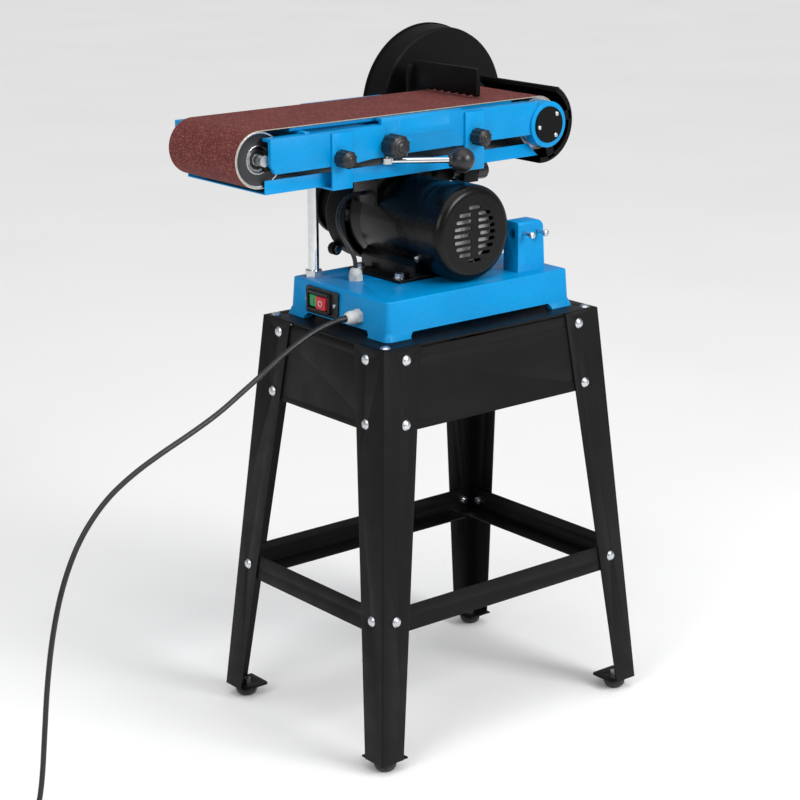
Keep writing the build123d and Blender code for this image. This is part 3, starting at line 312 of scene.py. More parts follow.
def turnedFace(name, hexes, rough, centre, pitch):
    # lathe-turned metal: rings round the drum's axis, pitch in millimetres
    material, tree, shader, place = newMaterial(name, Metallic=1.0)
    centred = addNode(tree, "ShaderNodeMapping", {"Vector": place, "Location": [-c for c in centre]})
    rings = addNode(tree, "ShaderNodeTexWave", {"Vector": centred, "Scale": perMetre(pitch * doubledPitch),
                                                "Distortion": 0.4}, "Fac", wave_type="RINGS",
                    rings_direction="Y")
    tone = addNode(tree, "ShaderNodeValToRGB", {"Fac": rings},
                   stops=[(0.0, toLinear(hexes[0])), (1.0, toLinear(hexes[1]))])
    tree.links.new(tone, shader.inputs["Base Color"])
    worn = wearing(tree, place, 7, 4, (0.3, grey(rough[0])), (0.7, grey(rough[1])))
    tree.links.new(worn, shader.inputs["Roughness"])
    bump = addNode(tree, "ShaderNodeBump", {"Height": rings, "Strength": 0.25, "Distance": 0.1 * mm})
    tree.links.new(bump, shader.inputs["Normal"])
    return material


driveMiddle = middleOf("spindle")
idlerMiddle = middleOf("idler_shaft")
gritColours = ("#431E1E", "#6E3432", "#A5706A")
materials = {
    # baked powder: an even satin black with a slight orange peel
    "stand_paint": paint("satinBlackPowderCoat", ("#070708", "#0C0C0D"), 0.22, 0.12, (0.42, 0.56), 0.0, 1.8,
                         0.16),
    # thick enamel over sand-cast iron: bright blue, softly glossy, with the mould's grain under it
    "blue_casting": paint("blueEnamelOnCastIron", ("#0089C8", "#0090D0"), 0.16, 0.3, (0.3, 0.44), 0.04, 2.6,
                          0.16),
    # the same enamel on pressed sheet: smoother and a little glossier
    "blue_sheet": paint("blueEnamelOnSheet", ("#008BCB", "#0092D2"), 0.06, 0.06, (0.26, 0.38), 0.04, 2.2,
                        0.16),
    # wrinkle finish: a dull black that breaks up highlights
    "black_paint": paint("blackTexturedEnamel", ("#070708", "#0B0B0C"), 0.45, 0.3, (0.46, 0.6), 0.0, 1.7,
                         0.12),
    # brushed enamel on rough iron: dark with broad dim highlights
    "black_casting": paint("blackEnamelOnCastIron", ("#070709", "#0A0A0C"), 0.3, 0.25, (0.36, 0.5), 0.03, 2.4,
                           0.13),
    # sprayed gloss: deep black with a clear soft highlight along the barrel
    "motor_black": paint("glossBlackMotorEnamel", ("#040405", "#070708"), 0.12, 0.08, (0.2, 0.32), 0.06, 2.2,
                         0.18),
    # plated screws: bright and slightly cool, with small dull spots
    "zinc_steel": metal("brightZincPlate", ("#B9BCC2", "#D6D8DA"), (0.22, 0.36), 0.25),
    # ground steel: grey with fine lines across the belt
    "machined_steel": metal("machinedSteel", ("#A9ABAD", "#C4C6C8"), (0.25, 0.4), 0.4, "Y"),
    # polished plating: mirror bright, so it takes on the colours round it
    "chrome_rod": metal("polishedChromePlate", ("#D8DADC", "#E6E8EA"), (0.06, 0.13), 0.08, "Z"),
    # turned aluminium: pale with fine rings
    "drum_aluminium": turnedFace("turnedAluminium", ("#B4B6B8", "#D0D2D4"), (0.26, 0.38), driveMiddle, 0.8),
    # pressed phenolic: near black with a waxy gloss
    "knob_plastic": moulded("blackPhenolicMoulding", ("#141416", "#1C1D20"), (0.28, 0.42), 1.6, 0.03),
    # glass-filled nylon: flat dark grey-black
    "switch_black": moulded("blackNylonMoulding", ("#111214", "#191A1C"), (0.42, 0.55), 1.2, 0.04),
    # ABS: clean colour with a low gloss
    "button_green": moulded("greenAbsMoulding", ("#0E8F4E", "#149C58"), (0.3, 0.42), 1.2, 0.02),
    # ABS: a deeper red with a low gloss
    "button_red": moulded("redAbsMoulding", ("#B5222E", "#C42B36"), (0.3, 0.42), 1.2, 0.02),
    # natural nylon: a milky pale grey
    "gland_nylon": moulded("greyNylonMoulding", ("#B7B8B6", "#CBCCC9"), (0.42, 0.58), 1.8, 0.06),
    # moulded rubber: dull and slightly dusty
    "black_rubber": moulded("blackMouldedRubber", ("#111112", "#1A1A1B"), (0.62, 0.8), 1.4, 0.06, 0.15),
    # extruded sheath: black with a long soft line of light
    "cord_rubber": moulded("blackPvcSheath", ("#121214", "#1B1B1D"), (0.34, 0.5), 2.0, 0.05),
    # red-brown oxide grit: matt, with pale and dark single grains
    "belt_abrasive": abrasiveCloth("redOxideAbrasive", gritColours, 1.0),
    "disc_abrasive": abrasiveCloth("redOxideDisc", gritColours, 1.0),
    # stacked steel and varnished copper: a warm brown metal
    "winding": metal("laminatedCoreAndCopper", ("#6E5540", "#8C6C4C"), (0.4, 0.55), 0.4, "Y"),
}
extraMaterials = {
    # X-weight cotton: the cream line on the belt's edge and its inside
    "backing": clothBacking("cottonClothBacking", ("#A79C86", "#D8CFBC"), 0.7),
    # turned steel rim: a bright ring inside the belt
    "idlerTurned": turnedFace("turnedSteelIdler", ("#A4A6A8", "#CFD1D3"), (0.24, 0.36), idlerMiddle, 0.9),
    # bearing seal: soft black round the shaft
    "sealBlack": moulded("blackRubberSeal", ("#151517", "#1E1E20"), (0.5, 0.65), 1.2, 0.05),
    # enamelled drum end: dark grey between rim and bearing
    "drumEnd": paint("blackDrumEndEnamel", ("#1C1C1E", "#242426"), 0.25, 0.1, (0.38, 0.5), 0.0, 1.5),
    # moulded fan: pale grey, seen through the cover's slots
    "fanGrey": moulded("paleGreyFanMoulding", ("#C9CACA", "#DADBDB"), (0.5, 0.65), 1.6, 0.04),
    # filled marks on the buttons
    "markWhite": moulded("whiteMarkInlay", ("#D9D6D2", "#E9E7E4"), (0.4, 0.5), 0.8, 0.01),
    "markGreen": moulded("darkGreenMarkInlay", ("#07542D", "#096135"), (0.4, 0.5), 0.8, 0.01),
}
slotOf = {part["node"]: part["material_slot"] for part in frame["record"]["subparts"]}
bodyOf = {name: body for body, names in frame["record"]["behaviour"]["bodies"].items() for name in names}
for nodeName, piece in nodes.items():
    piece.data.materials.clear()
    piece.data.materials.append(materials[slotOf[nodeName]])
print("materials made", len(materials) + len(extraMaterials))


# power cord: hangs from its gland to the floor, then lies in a neat coil
cordSettings = {
    "diameter": 7.0, "roundness": 6, "smoothness": 10,
    "turns": 3.25, "coilRadius": 38.5, "perTurn": 16, "coilMiddle": (-790.0, 7.0), "startAngle": -90,
    "crossing": 0.3, "clearance": 0.2,
    "plugTail": ((0, -12, -5), (0, 0, -1), (0, 10, 0)),
}
cordRoute = [
    (-0.1780, -0.0360, 0.5920),
    (-0.1930, -0.0360, 0.5914),
    (-0.2280, -0.0365, 0.5845),
    (-0.2730, -0.0360, 0.5645),
    (-0.3120, -0.0350, 0.5405),
    (-0.3460, -0.0345, 0.5210),
    (-0.3820, -0.0360, 0.5015),
    (-0.4270, -0.0380, 0.4835),
    (-0.4730, -0.0385, 0.4665),
    (-0.5160, -0.0365, 0.4465),
    (-0.5560, -0.0350, 0.4205),
    (-0.5940, -0.0360, 0.3800),
    (-0.6220, -0.0385, 0.3280),
    (-0.6410, -0.0410, 0.2680),
    (-0.6530, -0.0425, 0.2040),
    (-0.6605, -0.0430, 0.1400),
    (-0.6660, -0.0420, 0.0840),
    (-0.6730, -0.0405, 0.0440),
    (-0.6870, -0.0375, 0.0165),
    (-0.7120, -0.0335, 0.0046),
    (-0.7410, -0.0315, 0.0037),
    (-0.7650, -0.0318, 0.0037),
]


def coilPoints(settings):
    # four rounds: outside and inside on the floor, then inside and outside on top of them
    points = []
    radius, wire, clearance = settings["coilRadius"], settings["diameter"], settings["clearance"]
    lower, upper = wire / 2 + clearance, wire * 1.5 + clearance / 2
    layers = [(radius + wire / 2, lower), (radius - wire / 2, lower),
              (radius - wire / 2, upper), (radius + wire / 2, upper)]
    last = len(layers) - 1
    steps = int(settings["turns"] * settings["perTurn"])
    for step in range(1, steps + 1):
        travelled = step / settings["perTurn"]
        turn = min(int(travelled), last)
        into = max(0.0, (travelled - turn - (1 - settings["crossing"])) / settings["crossing"])
        ease = into * into * (3 - 2 * into)
        here, after = layers[turn], layers[min(turn + 1, last)]
        distance = here[0] + (after[0] - here[0]) * ease
        height = here[1] + (after[1] - here[1]) * ease
        angle = math.radians(settings["startAngle"]) - 2 * math.pi * travelled
        x = settings["coilMiddle"][0] + distance * math.cos(angle)
        y = settings["coilMiddle"][1] + distance * math.sin(angle)
        points.append((x * mm, y * mm, height * mm))
    return points


def splineCurve(name, points, settings):
    curve = bpy.data.curves.new(name, "CURVE")
    curve.dimensions = "3D"
    curve.bevel_depth = settings["diameter"] / 2 * mm
    curve.bevel_resolution = settings["roundness"]
    curve.resolution_u = settings["smoothness"]
    curve.use_fill_caps = True
    spline = curve.splines.new("NURBS")
    spline.points.add(len(points) - 1)
    for point, place in zip(spline.points, points):
        point.co = (*(standMiddle + Vector(place)), 1)
    spline.order_u = 3
    spline.use_endpoint_u = True
    piece = bpy.data.objects.new(name, curve)
    bpy.context.scene.collection.objects.link(piece)
    return piece


plugLow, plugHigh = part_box("plug")
plugEnd = Vector(((plugLow.x + plugHigh.x) / 2, plugLow.y, (plugLow.z + plugHigh.z) / 2)) - standMiddle
plugTail = [plugEnd + Vector(step) * mm for step in cordSettings["plugTail"]]
powerCord = splineCurve("powerCord", cordRoute + coilPoints(cordSettings) + plugTail, cordSettings)
powerCord.data.materials.append(materials["cord_rubber"])
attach(powerCord, "machine")
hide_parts("power_cord", "cord_coil")

reliefSettings = {
    "length": 22, "wide": 5.0, "narrow": 3.9, "sides": 32, "rings": 5, "waist": 0.88, "soft": 0.4, "sunk": 4,
}


def strainRelief(settings):
    # tapered ribbed sleeve that leaves the gland with the lead
    start, after = [Vector(p) for p in cordRoute[:2]]
    direction = (after - start).normalized()
    length = settings["length"] * mm
    bpy.ops.mesh.primitive_cylinder_add(vertices=settings["sides"], radius=settings["wide"] * mm,
                                        depth=length)
    sleeve = bpy.context.object
    half = length / 2
    pickFaces(sleeve, lambda face: face.normal.z > 0.9)
    shrink = settings["narrow"] / settings["wide"]
    bpy.ops.transform.resize(value=(shrink, shrink, 1), center_override=(0, 0, half))
    leaveEdit()
    steps = settings["rings"] * 2
    heights = [-half + length * step / steps for step in range(1, steps)]
    for height in heights:
        editAll(sleeve)
        bpy.ops.mesh.bisect(plane_co=(0, 0, height), plane_no=(0, 0, 1))
        leaveEdit()
    for height in heights[::2]:
        pickVertices(sleeve, lambda co: abs(co.z - height) < 0.2 * mm)
        bpy.ops.transform.resize(value=(settings["waist"], settings["waist"], 1),
                                 center_override=(0, 0, height))
        leaveEdit()
    softenCorners(sleeve, settings["soft"], 2, 25)
    turnTo(sleeve, direction, standMiddle + start + direction * (half - settings["sunk"] * mm))
    smoothEdges(sleeve, 60)
    return sleeve


relief = finishPiece(strainRelief(reliefSettings), "strainRelief", "machine",
                     materials["cord_rubber"])
print("cord laid")


# painted and machined parts get softened edges, in millimetres, so that they catch the light
softEdges = {
    "base_casting": 1.6, "arm_casting": 1.0, "dust_tray": 0.45, "work_stop": 0.8, "spindle_housing": 1.2,
    "belt_cover": 0.6, "motor_shell": 0.8, "switch_body": 0.5, "disc_table": 0.8, "table_bracket": 1.2,
    "stand_top_plate": 0.5, "stand_legs": 0.5, "stand_aprons": 0.4, "stand_braces": 0.5,
}
joined = {"base_casting": ["base_casting", "rod_lug"]}
mergeWithin = 0.002 * mm


def softened(nodeNames, width):
    copies = []
    for nodeName in nodeNames:
        copy = nodes[nodeName].copy()
        copy.data = nodes[nodeName].data.copy()
        for key in list(copy.keys()):
            del copy[key]
        copy.parent = None
        bpy.context.scene.collection.objects.link(copy)
        editAll(copy)
        bpy.ops.mesh.remove_doubles(threshold=mergeWithin)
        leaveEdit()
        copies.append(copy)
    piece, *others = copies
    for other in others:
        addModifier(piece, "BOOLEAN", operation="UNION", solver="EXACT", object=other)
        bpy.data.objects.remove(other)
    editAll(piece)
    bpy.ops.mesh.dissolve_limited(angle_limit=math.radians(1.0))
    leaveEdit()
    softenCorners(piece, width, 2, 38)
    smoothEdges(piece, 34)
    return piece


for nodeName, width in softEdges.items():
    members = joined.get(nodeName, [nodeName])
    slot = slotOf[nodeName]
    finishPiece(softened(members, width), camelName(nodeName) + "Finished", bodyOf[nodeName],
                materials[slot], members)
print("edges softened", len(softEdges))


# sanding belt: a loop of cloth with grit outside, pulled out between the two drums
beltSettings = {"thick": 1.2, "around": 96}
hair = 0.01 * mm


def sandingBelt(settings):
    low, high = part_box("sanding_belt")
    radius = (high.z - low.z) / 2
    halfSpan = (high.x - low.x) / 2 - radius
    bpy.ops.mesh.primitive_cylinder_add(vertices=settings["around"], radius=radius, depth=high.y - low.y,
                                        end_fill_type="NOTHING")
    belt = bpy.context.object
    belt.rotation_euler = (math.radians(90), 0, 0)
    bakePlace(belt)
    pickVertices(belt, lambda co: co.x > hair)
    bpy.ops.transform.translate(value=(halfSpan, 0, 0))
    leaveEdit()
    pickVertices(belt, lambda co: co.x <= hair)
    bpy.ops.transform.translate(value=(-halfSpan, 0, 0))
    leaveEdit()
    belt.location = (low + high) / 2
    bakePlace(belt)
    editAll(belt)
    bpy.ops.mesh.normals_make_consistent(inside=False)
    leaveEdit()
    addModifier(belt, "SOLIDIFY", thickness=settings["thick"] * mm, offset=-1, use_even_offset=True)
    smoothEdges(belt, 40)
    return belt


belt = finishPiece(sandingBelt(beltSettings), "sandingBelt", "arm",
                   [materials["belt_abrasive"], extraMaterials["backing"]], ["sanding_belt"])
beltLow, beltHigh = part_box("sanding_belt")
beltRadius = (beltHigh.z - beltLow.z) / 2
for face in belt.data.polygons:
    # cloth shows on the edges and on the side that faces the drums
    nearestAxis = min(max(face.center.x, beltLow.x + beltRadius), beltHigh.x - beltRadius)
    outward = face.center - Vector((nearestAxis, face.center.y, beltLow.z + beltRadius))
    facesIn = face.normal.dot(outward) < 0
    face.material_index = 1 if facesIn or abs(face.normal.y) > 0.5 else 0
print("belt made")


# idler drum: thin turned rim, black end faces, recessed bearings
drumSettings = {
    "radius": 36.1, "chamfer": 0.5, "rim": 33.6, "faceDeep": 1.6, "seat": 18.6, "seatRise": 0.8,
    "collar": 17.1, "seatDeep": 2.0, "seal": 4.0, "innerRace": 4.6, "boreDeep": 6, "soft": 0.3, "sides": 128,
    "blackFrom": 0.2, "blackTo": 0.3,
}


def idlerDrum(settings):
    low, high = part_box("idler_drum")
    width = high.y - low.y
    bpy.ops.mesh.primitive_cylinder_add(vertices=settings["sides"], radius=settings["radius"] * mm,
                                        depth=width)
    drum = bpy.context.object
    for side in (1, -1):
        steps = (  # inset, then a move along the axis
            (settings["chamfer"], 0),
            (settings["radius"] - settings["rim"] - settings["chamfer"], -settings["faceDeep"]),
            (settings["rim"] - settings["seat"], settings["seatRise"]),
            (settings["seat"] - settings["collar"], -settings["seatDeep"]),
            (settings["seal"], 0),
            (settings["innerRace"], -settings["boreDeep"]),
        )
        pickFaces(drum, lambda face: (face.normal.z * side > 0.9
                                      and face.center.z * side > width / 2 - hair))
        for inset, move in steps:
            bpy.ops.mesh.inset(thickness=inset * mm)
            if move:
                bpy.ops.mesh.extrude_region_move(TRANSFORM_OT_translate={"value": (0, 0, side * move * mm)})
        leaveEdit()
    softenCorners(drum, settings["soft"], 2, 40)
    turnTo(drum, (0, 1, 0), (low + high) / 2)
    smoothEdges(drum, 30)
    return drum


drum = idlerDrum(drumSettings)
finishPiece(drum, "idlerDrumTurned", "idler",
            [extraMaterials["idlerTurned"], extraMaterials["drumEnd"], extraMaterials["sealBlack"]],
            ["idler_drum"])
for face in drum.data.polygons:
    distance = Vector((face.center.x - idlerMiddle.x, 0, face.center.z - idlerMiddle.z)).length / mm
    flat = abs(face.normal.y) > 0.9
    blackFrom = drumSettings["seat"] + drumSettings["blackFrom"]
    if flat and blackFrom < distance < drumSettings["rim"] + drumSettings["blackTo"]:
        face.material_index = 1
    elif flat and distance < drumSettings["collar"] - drumSettings["seal"]:
        face.material_index = 2
print("idler drum made")


# motor fan: pale moulded disc with swept blades behind the slots of the cover
fanSettings = {
    "discRadius": 40.0, "discThick": 2.0, "hub": 13.0, "lift": 3.0, "sides": 72, "soft": 0.4,
    "blades": 9, "bladeSize": (30, 2.2), "bladeMiddle": 31, "bladeShort": 3.0, "bladeSoft": 0.5, "sweep": 6,
}


def coolingFan(settings):
    low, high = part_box("motor_fan")
    depth = high.y - low.y
    bladeDepth = depth - settings["bladeShort"] * mm
    bpy.ops.mesh.primitive_cylinder_add(vertices=settings["sides"], radius=settings["discRadius"] * mm,
                                        depth=settings["discThick"] * mm,
                                        location=(0, 0, depth - settings["discThick"] / 2 * mm))
    fan = bpy.context.object
    bakePlace(fan)
    pickFaces(fan, lambda face: face.normal.z > 0.9)
    bpy.ops.mesh.inset(thickness=(settings["discRadius"] - settings["hub"]) * mm)
    bpy.ops.mesh.extrude_region_move(TRANSFORM_OT_translate={"value": (0, 0, settings["lift"] * mm)})
    leaveEdit()
    for blade in range(settings["blades"]):
        bpy.ops.mesh.primitive_cube_add(size=1)
        vane = bpy.context.object
        vane.scale = (settings["bladeSize"][0] * mm, settings["bladeSize"][1] * mm, bladeDepth)
        vane.location = (settings["bladeMiddle"] * mm, 0, bladeDepth / 2)
        bakePlace(vane)
        pickVertices(vane, lambda co: co.x > settings["discRadius"] * mm)
        bpy.ops.transform.translate(value=(0, settings["sweep"] * mm, 0))
        leaveEdit()
        addModifier(vane, "BEVEL", width=settings["bladeSoft"] * mm, segments=2)
        vane.rotation_euler = (0, 0, 2 * math.pi * blade / settings["blades"])
        bakePlace(vane)
        joinTo(fan, vane)
    softenCorners(fan, settings["soft"])
    turnTo(fan, (0, -1, 0), Vector(((low.x + high.x) / 2, high.y, (low.z + high.z) / 2)))
    smoothEdges(fan, 40)
    return fan


finishPiece(coolingFan(fanSettings), "motorFanMoulded", "rotor", extraMaterials["fanGrey"],
            ["motor_fan"])
print("fan made")


# hand knobs: fluted rim, domed face with a stepped nose
knobCut = {
    "sidesPerFlute": 6, "fluteShare": 0.2, "rimShare": 0.97, "faceInset": 0.16, "dome": 0.1,
    "backInset": 0.12, "behind": 5.0,
}
trayKnob = {
    "flutes": 10, "radius": 12.0, "height": 19.0, "depth": 0.92, "soft": 0.6,
    "nose": [(0.86, 0.4), (0.98, 1.2), (0.7, 0.8), (1.0, -0.6), (0.8, 0), (1.0, 0.7), (0.5, 0.8)],
}
trackKnob = {
    "flutes": 10, "radius": 16.5, "height": 21.0, "depth": 0.93, "soft": 0.8,
    "nose": [(0.86, 0.4), (0.98, 1.4), (0.7, 1.0), (1.0, -0.7), (0.8, 0), (1.0, 0.8), (0.5, 0.9)],
    "collar": {"radius": 7.92, "length": 6.4, "inset": 1.2, "behind": 2.9, "sides": 32},
}


def flutedKnob(settings):
    # stands on its back face, axis +Z
    flutes, radius, height = settings["flutes"], settings["radius"], settings["height"]
    bpy.ops.mesh.primitive_cylinder_add(vertices=flutes * knobCut["sidesPerFlute"], radius=radius * mm,
                                        depth=height * mm, location=(0, 0, height / 2 * mm))
    knob = bpy.context.object
    bakePlace(knob)

    def inFlute(co):
        turn = math.atan2(co.y, co.x) / (2 * math.pi) * flutes
        return abs(turn - round(turn)) < knobCut["fluteShare"]

    pickFaces(knob, lambda face: face.normal.z > 0.9)
    bpy.ops.mesh.inset(thickness=radius * knobCut["faceInset"] * mm)
    bpy.ops.transform.translate(value=(0, 0, radius * knobCut["dome"] * mm))
    for grow, rise in settings["nose"]:
        bpy.ops.mesh.extrude_region_move(TRANSFORM_OT_translate={"value": (0, 0, rise * mm)})
        bpy.ops.transform.resize(value=(grow, grow, 1), center_override=(0, 0, 0))
    leaveEdit()
    rim = radius * knobCut["rimShare"] * mm
    pickVertices(knob, lambda co: co.xy.length > rim and inFlute(co))
    bpy.ops.transform.resize(value=(settings["depth"], settings["depth"], 1), center_override=(0, 0, 0))
    leaveEdit()
    pickFaces(knob, lambda face: face.normal.z < -0.9)
    bpy.ops.mesh.inset(thickness=radius * knobCut["backInset"] * mm)
    leaveEdit()
    softenCorners(knob, settings["soft"], 3, 28)
    smoothEdges(knob, 50)
    return knob


for nodeName, body, knobShape in (("tray_knob_left", "tray_knob_near_left", trayKnob),
                                  ("tray_knob_right", "tray_knob_near_right", trayKnob),
                                  ("tracking_knob", "tracking", trackKnob)):
    low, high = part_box(nodeName)
    knob = flutedKnob(knobShape)
    back = Vector(((low.x + high.x) / 2, low.y + (knobShape["height"] + knobCut["behind"]) * mm,
                   (low.z + high.z) / 2))
    turnTo(knob, (0, -1, 0), back)
    if "collar" in knobShape:
        shape = knobShape["collar"]
        bpy.ops.mesh.primitive_cylinder_add(vertices=shape["sides"], radius=shape["radius"] * mm,
                                            depth=shape["length"] * mm)
        collar = bpy.context.object
        pickFaces(collar, lambda face: abs(face.normal.z) > 0.9)
        bpy.ops.mesh.inset(thickness=shape["inset"] * mm)
        leaveEdit()
        collar.matrix_world = (Matrix.Translation(back + Vector((0, shape["behind"], 0)) * mm)
                               @ Matrix.Rotation(math.radians(90), 4, "X"))
        bakePlace(collar)
        joinTo(knob, collar)
    finishPiece(knob, camelName(nodeName) + "Moulded", body, materials["knob_plastic"],
                [nodeName])
print("knobs made")


# ball on the tension lever, with a short neck round the rod
ballSettings = {
    "radius": 17.0, "cut": 0.86, "neck": 3.2, "lip": 0.8, "lipShare": 0.86, "boreShare": 0.45, "pivotIn": 8,
    "segments": 48, "rings": 32,
}


def leverBall(settings):
    low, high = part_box("tension_lever")
    ballLow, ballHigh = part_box("lever_ball")
    radius, pivotIn = settings["radius"] * mm, settings["pivotIn"] * mm
    middle = Vector((ballHigh.x - radius, ballLow.y + radius, (ballLow.z + ballHigh.z) / 2))
    pivot = Vector((low.x + pivotIn, high.y - pivotIn, middle.z))
    bpy.ops.mesh.primitive_uv_sphere_add(segments=settings["segments"], ring_count=settings["rings"],
                                         radius=radius)
    ball = bpy.context.object
    pickVertices(ball, lambda co: co.z < -settings["cut"] * radius)
    bpy.ops.mesh.delete(type="VERT")
    bpy.ops.mesh.select_mode(type="EDGE")
    bpy.ops.mesh.select_all(action="DESELECT")
    bpy.ops.mesh.select_non_manifold()
    bpy.ops.mesh.extrude_region_move(TRANSFORM_OT_translate={"value": (0, 0, -settings["neck"] * mm)})
    bpy.ops.mesh.extrude_region_move(TRANSFORM_OT_translate={"value": (0, 0, -settings["lip"] * mm)})
    bpy.ops.transform.resize(value=(settings["lipShare"], settings["lipShare"], 1),
                             center_override=(0, 0, 0))
    bpy.ops.mesh.extrude_region_move(TRANSFORM_OT_translate={"value": (0, 0, 0)})
    bpy.ops.transform.resize(value=(settings["boreShare"], settings["boreShare"], 1),
                             center_override=(0, 0, 0))
    leaveEdit()
    turnTo(ball, (middle - pivot).normalized(), middle)
    smoothEdges(ball, 40)
    return ball


finishPiece(leverBall(ballSettings), "leverBallMoulded", "lever", materials["knob_plastic"],
            ["lever_ball"])
print("lever ball made")


# drum end guard: folded sheet with a rolled lip, angles in degrees round the drum
hoodSettings = {
    "outer": 56.5, "sheet": 1.8, "rim": 48.0, "corner": 3.0, "cornerSteps": 4, "from": -96.0, "to": 60.0,
    "steps": 64, "soft": 0.4,
    "rolls": ((53.3, 3.2), (50.4, 2.2)), "rollSides": 28, "rollInset": 0.7, "rollSoft": 0.5,
    "tabAngles": (10, -72), "tabSize": (20, 1.8, 14), "tabReach": 42.6, "tabIn": 0.9, "tabSoft": 0.5,
}


def drumHood(settings, centre, near, far):
    # the guard's cross-section drawn as a string of edges, then spun round the drum's axis
    outer, corner, rim = settings["outer"] * mm, settings["corner"] * mm, settings["rim"] * mm
    profile = [(rim, near)]
    for nearSide in (True, False):
        for step in range(settings["cornerSteps"] + 1):
            turn = math.radians(90 * step / settings["cornerSteps"])
            across, along = corner * math.sin(turn), corner * math.cos(turn)
            if nearSide:
                profile.append((outer - corner + across, near + corner - along))
            else:
                profile.append((outer - corner + along, far - corner + across))
    profile.append((rim, far))
    start = math.radians(settings["from"])
    points = [Vector((centre.x + r * math.cos(start), y, centre.z + r * math.sin(start))) for r, y in profile]
    bpy.ops.mesh.primitive_plane_add(size=mm)
    hood = bpy.context.object
    pickVertices(hood, lambda co: True)
    bpy.ops.mesh.merge(type="CENTER")
    bpy.ops.transform.translate(value=points[0])
    for here, after in zip(points, points[1:]):
        bpy.ops.mesh.extrude_region_move(TRANSFORM_OT_translate={"value": after - here})
    bpy.ops.mesh.select_all(action="SELECT")
    bpy.ops.mesh.spin(steps=settings["steps"], angle=math.radians(settings["to"] - settings["from"]),
                      center=centre, axis=(0, 1, 0))
    bpy.ops.mesh.select_all(action="SELECT")
    bpy.ops.mesh.remove_doubles(threshold=hair)
    bpy.ops.mesh.normals_make_consistent(inside=False)
    leaveEdit()
    # the sheet grows inwards, whichever way the open shell's normals came out
    lean = sum((face.center - centre).normalized().dot(face.normal)
               for face in hood.data.polygons if abs(face.normal.y) < 0.3)
    addModifier(hood, "SOLIDIFY", thickness=settings["sheet"] * mm, offset=-1 if lean > 0 else 1,
                use_even_offset=True)
    softenCorners(hood, settings["soft"])
    smoothEdges(hood, 40)
    return hood


def lipRoll(settings, radius, place, length):
    bpy.ops.mesh.primitive_cylinder_add(vertices=settings["rollSides"], radius=radius * mm, depth=length)
    roll = bpy.context.object
    pickFaces(roll, lambda face: abs(face.normal.z) > 0.9)
    bpy.ops.mesh.inset(thickness=settings["rollInset"] * mm)
    leaveEdit()
    softenCorners(roll, settings["rollSoft"])
    turnTo(roll, (0, 1, 0), place)
    smoothEdges(roll, 40)
    return roll


def fixingTab(settings, angle, place):
    bpy.ops.mesh.primitive_cube_add(size=1)
    tab = bpy.context.object
    tab.scale = [side * mm for side in settings["tabSize"]]
    bakePlace(tab)
    addModifier(tab, "BEVEL", width=settings["tabSoft"] * mm, segments=2)
    turn = Matrix.Rotation(math.radians(-angle), 4, "Y")
    reach = Matrix.Translation((settings["tabReach"] * mm, 0, 0))
    tab.matrix_world = Matrix.Translation(place) @ turn @ reach
    bakePlace(tab)
    return tab


guardLow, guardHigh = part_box("drum_guard")
guardNear, guardFar = guardLow.y, guardHigh.y
guardCentre = Vector((driveMiddle.x, 0, driveMiddle.z))
hood = drumHood(hoodSettings, guardCentre, guardNear, guardFar)
lipAngle = math.radians(hoodSettings["to"])
for distance, radius in hoodSettings["rolls"]:
    spot = guardCentre + Vector((math.cos(lipAngle), 0, math.sin(lipAngle))) * distance * mm
    spot.y = (guardNear + guardFar) / 2
    joinTo(hood, lipRoll(hoodSettings, radius, spot, guardFar - guardNear))
tabIn = hoodSettings["tabIn"] * mm
for angle in hoodSettings["tabAngles"]:
    for y in (guardNear + tabIn, guardFar - tabIn):
        joinTo(hood, fixingTab(hoodSettings, angle, Vector((guardCentre.x, y, guardCentre.z))))
finishPiece(hood, "drumGuardFolded", "arm", materials["black_paint"], ["drum_guard"])
print("drum guard made")


# switch: raised surround, small buttons and their marks; places are y and z in stand millimetres
switchSettings = {
    "rise": 4.5, "outer": (20.6, 71.4, 582.6, 610.6), "opening": (24.2, 68.0, 586.6, 606.4), "soft": 0.8,
    "sunk": 0.5,
    "start": (47.6, 66.4, 588.2, 604.8, 2.4), "stop": (25.8, 46.4, 587.6, 605.4, 7.4),
    "buttonLong": 14, "buttonSoft": 1.3,
    "ring": (3.7, 0.55), "ringIn": 0.3, "bar": (0.7, 4), "barOut": 0.25, "barIn": 0.4, "barSoft": 0.2,
}


def roundedBar(x0, x1, y0, y1, z0, z1, soft):
    bpy.ops.mesh.primitive_cube_add(size=1)
    bar = bpy.context.object
    bar.scale = ((x1 - x0) * mm, (y1 - y0) * mm, (z1 - z0) * mm)
    bar.location = at((x0 + x1) / 2, (y0 + y1) / 2, (z0 + z1) / 2)
    bakePlace(bar)
    addModifier(bar, "BEVEL", width=soft * mm, segments=3)
    smoothEdges(bar, 40)
    return bar


plateFace = (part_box("switch_body")[0].x - standMiddle.x) / mm


def switchSurround(settings):
    y0, y1, z0, z1 = settings["outer"]
    innerY0, innerY1, innerZ0, innerZ1 = settings["opening"]
    sides = ((y0, y1, innerZ1, z1), (y0, y1, z0, innerZ0), (y0, innerY0, z0, z1), (innerY1, y1, z0, z1))
    front, back = plateFace - settings["rise"], plateFace + settings["sunk"]
    top, *others = [roundedBar(front, back, *side, settings["soft"]) for side in sides]
    for other in others:
        joinTo(top, other)
    return top


def stopRing(settings, face, y, z):
    wide, thick = settings["ring"]
    bpy.ops.mesh.primitive_torus_add(major_radius=wide * mm, minor_radius=thick * mm, major_segments=40,
                                     minor_segments=10)
    ring = bpy.context.object
    turnTo(ring, (-1, 0, 0), at(face + settings["ringIn"], y, z))
    return ring


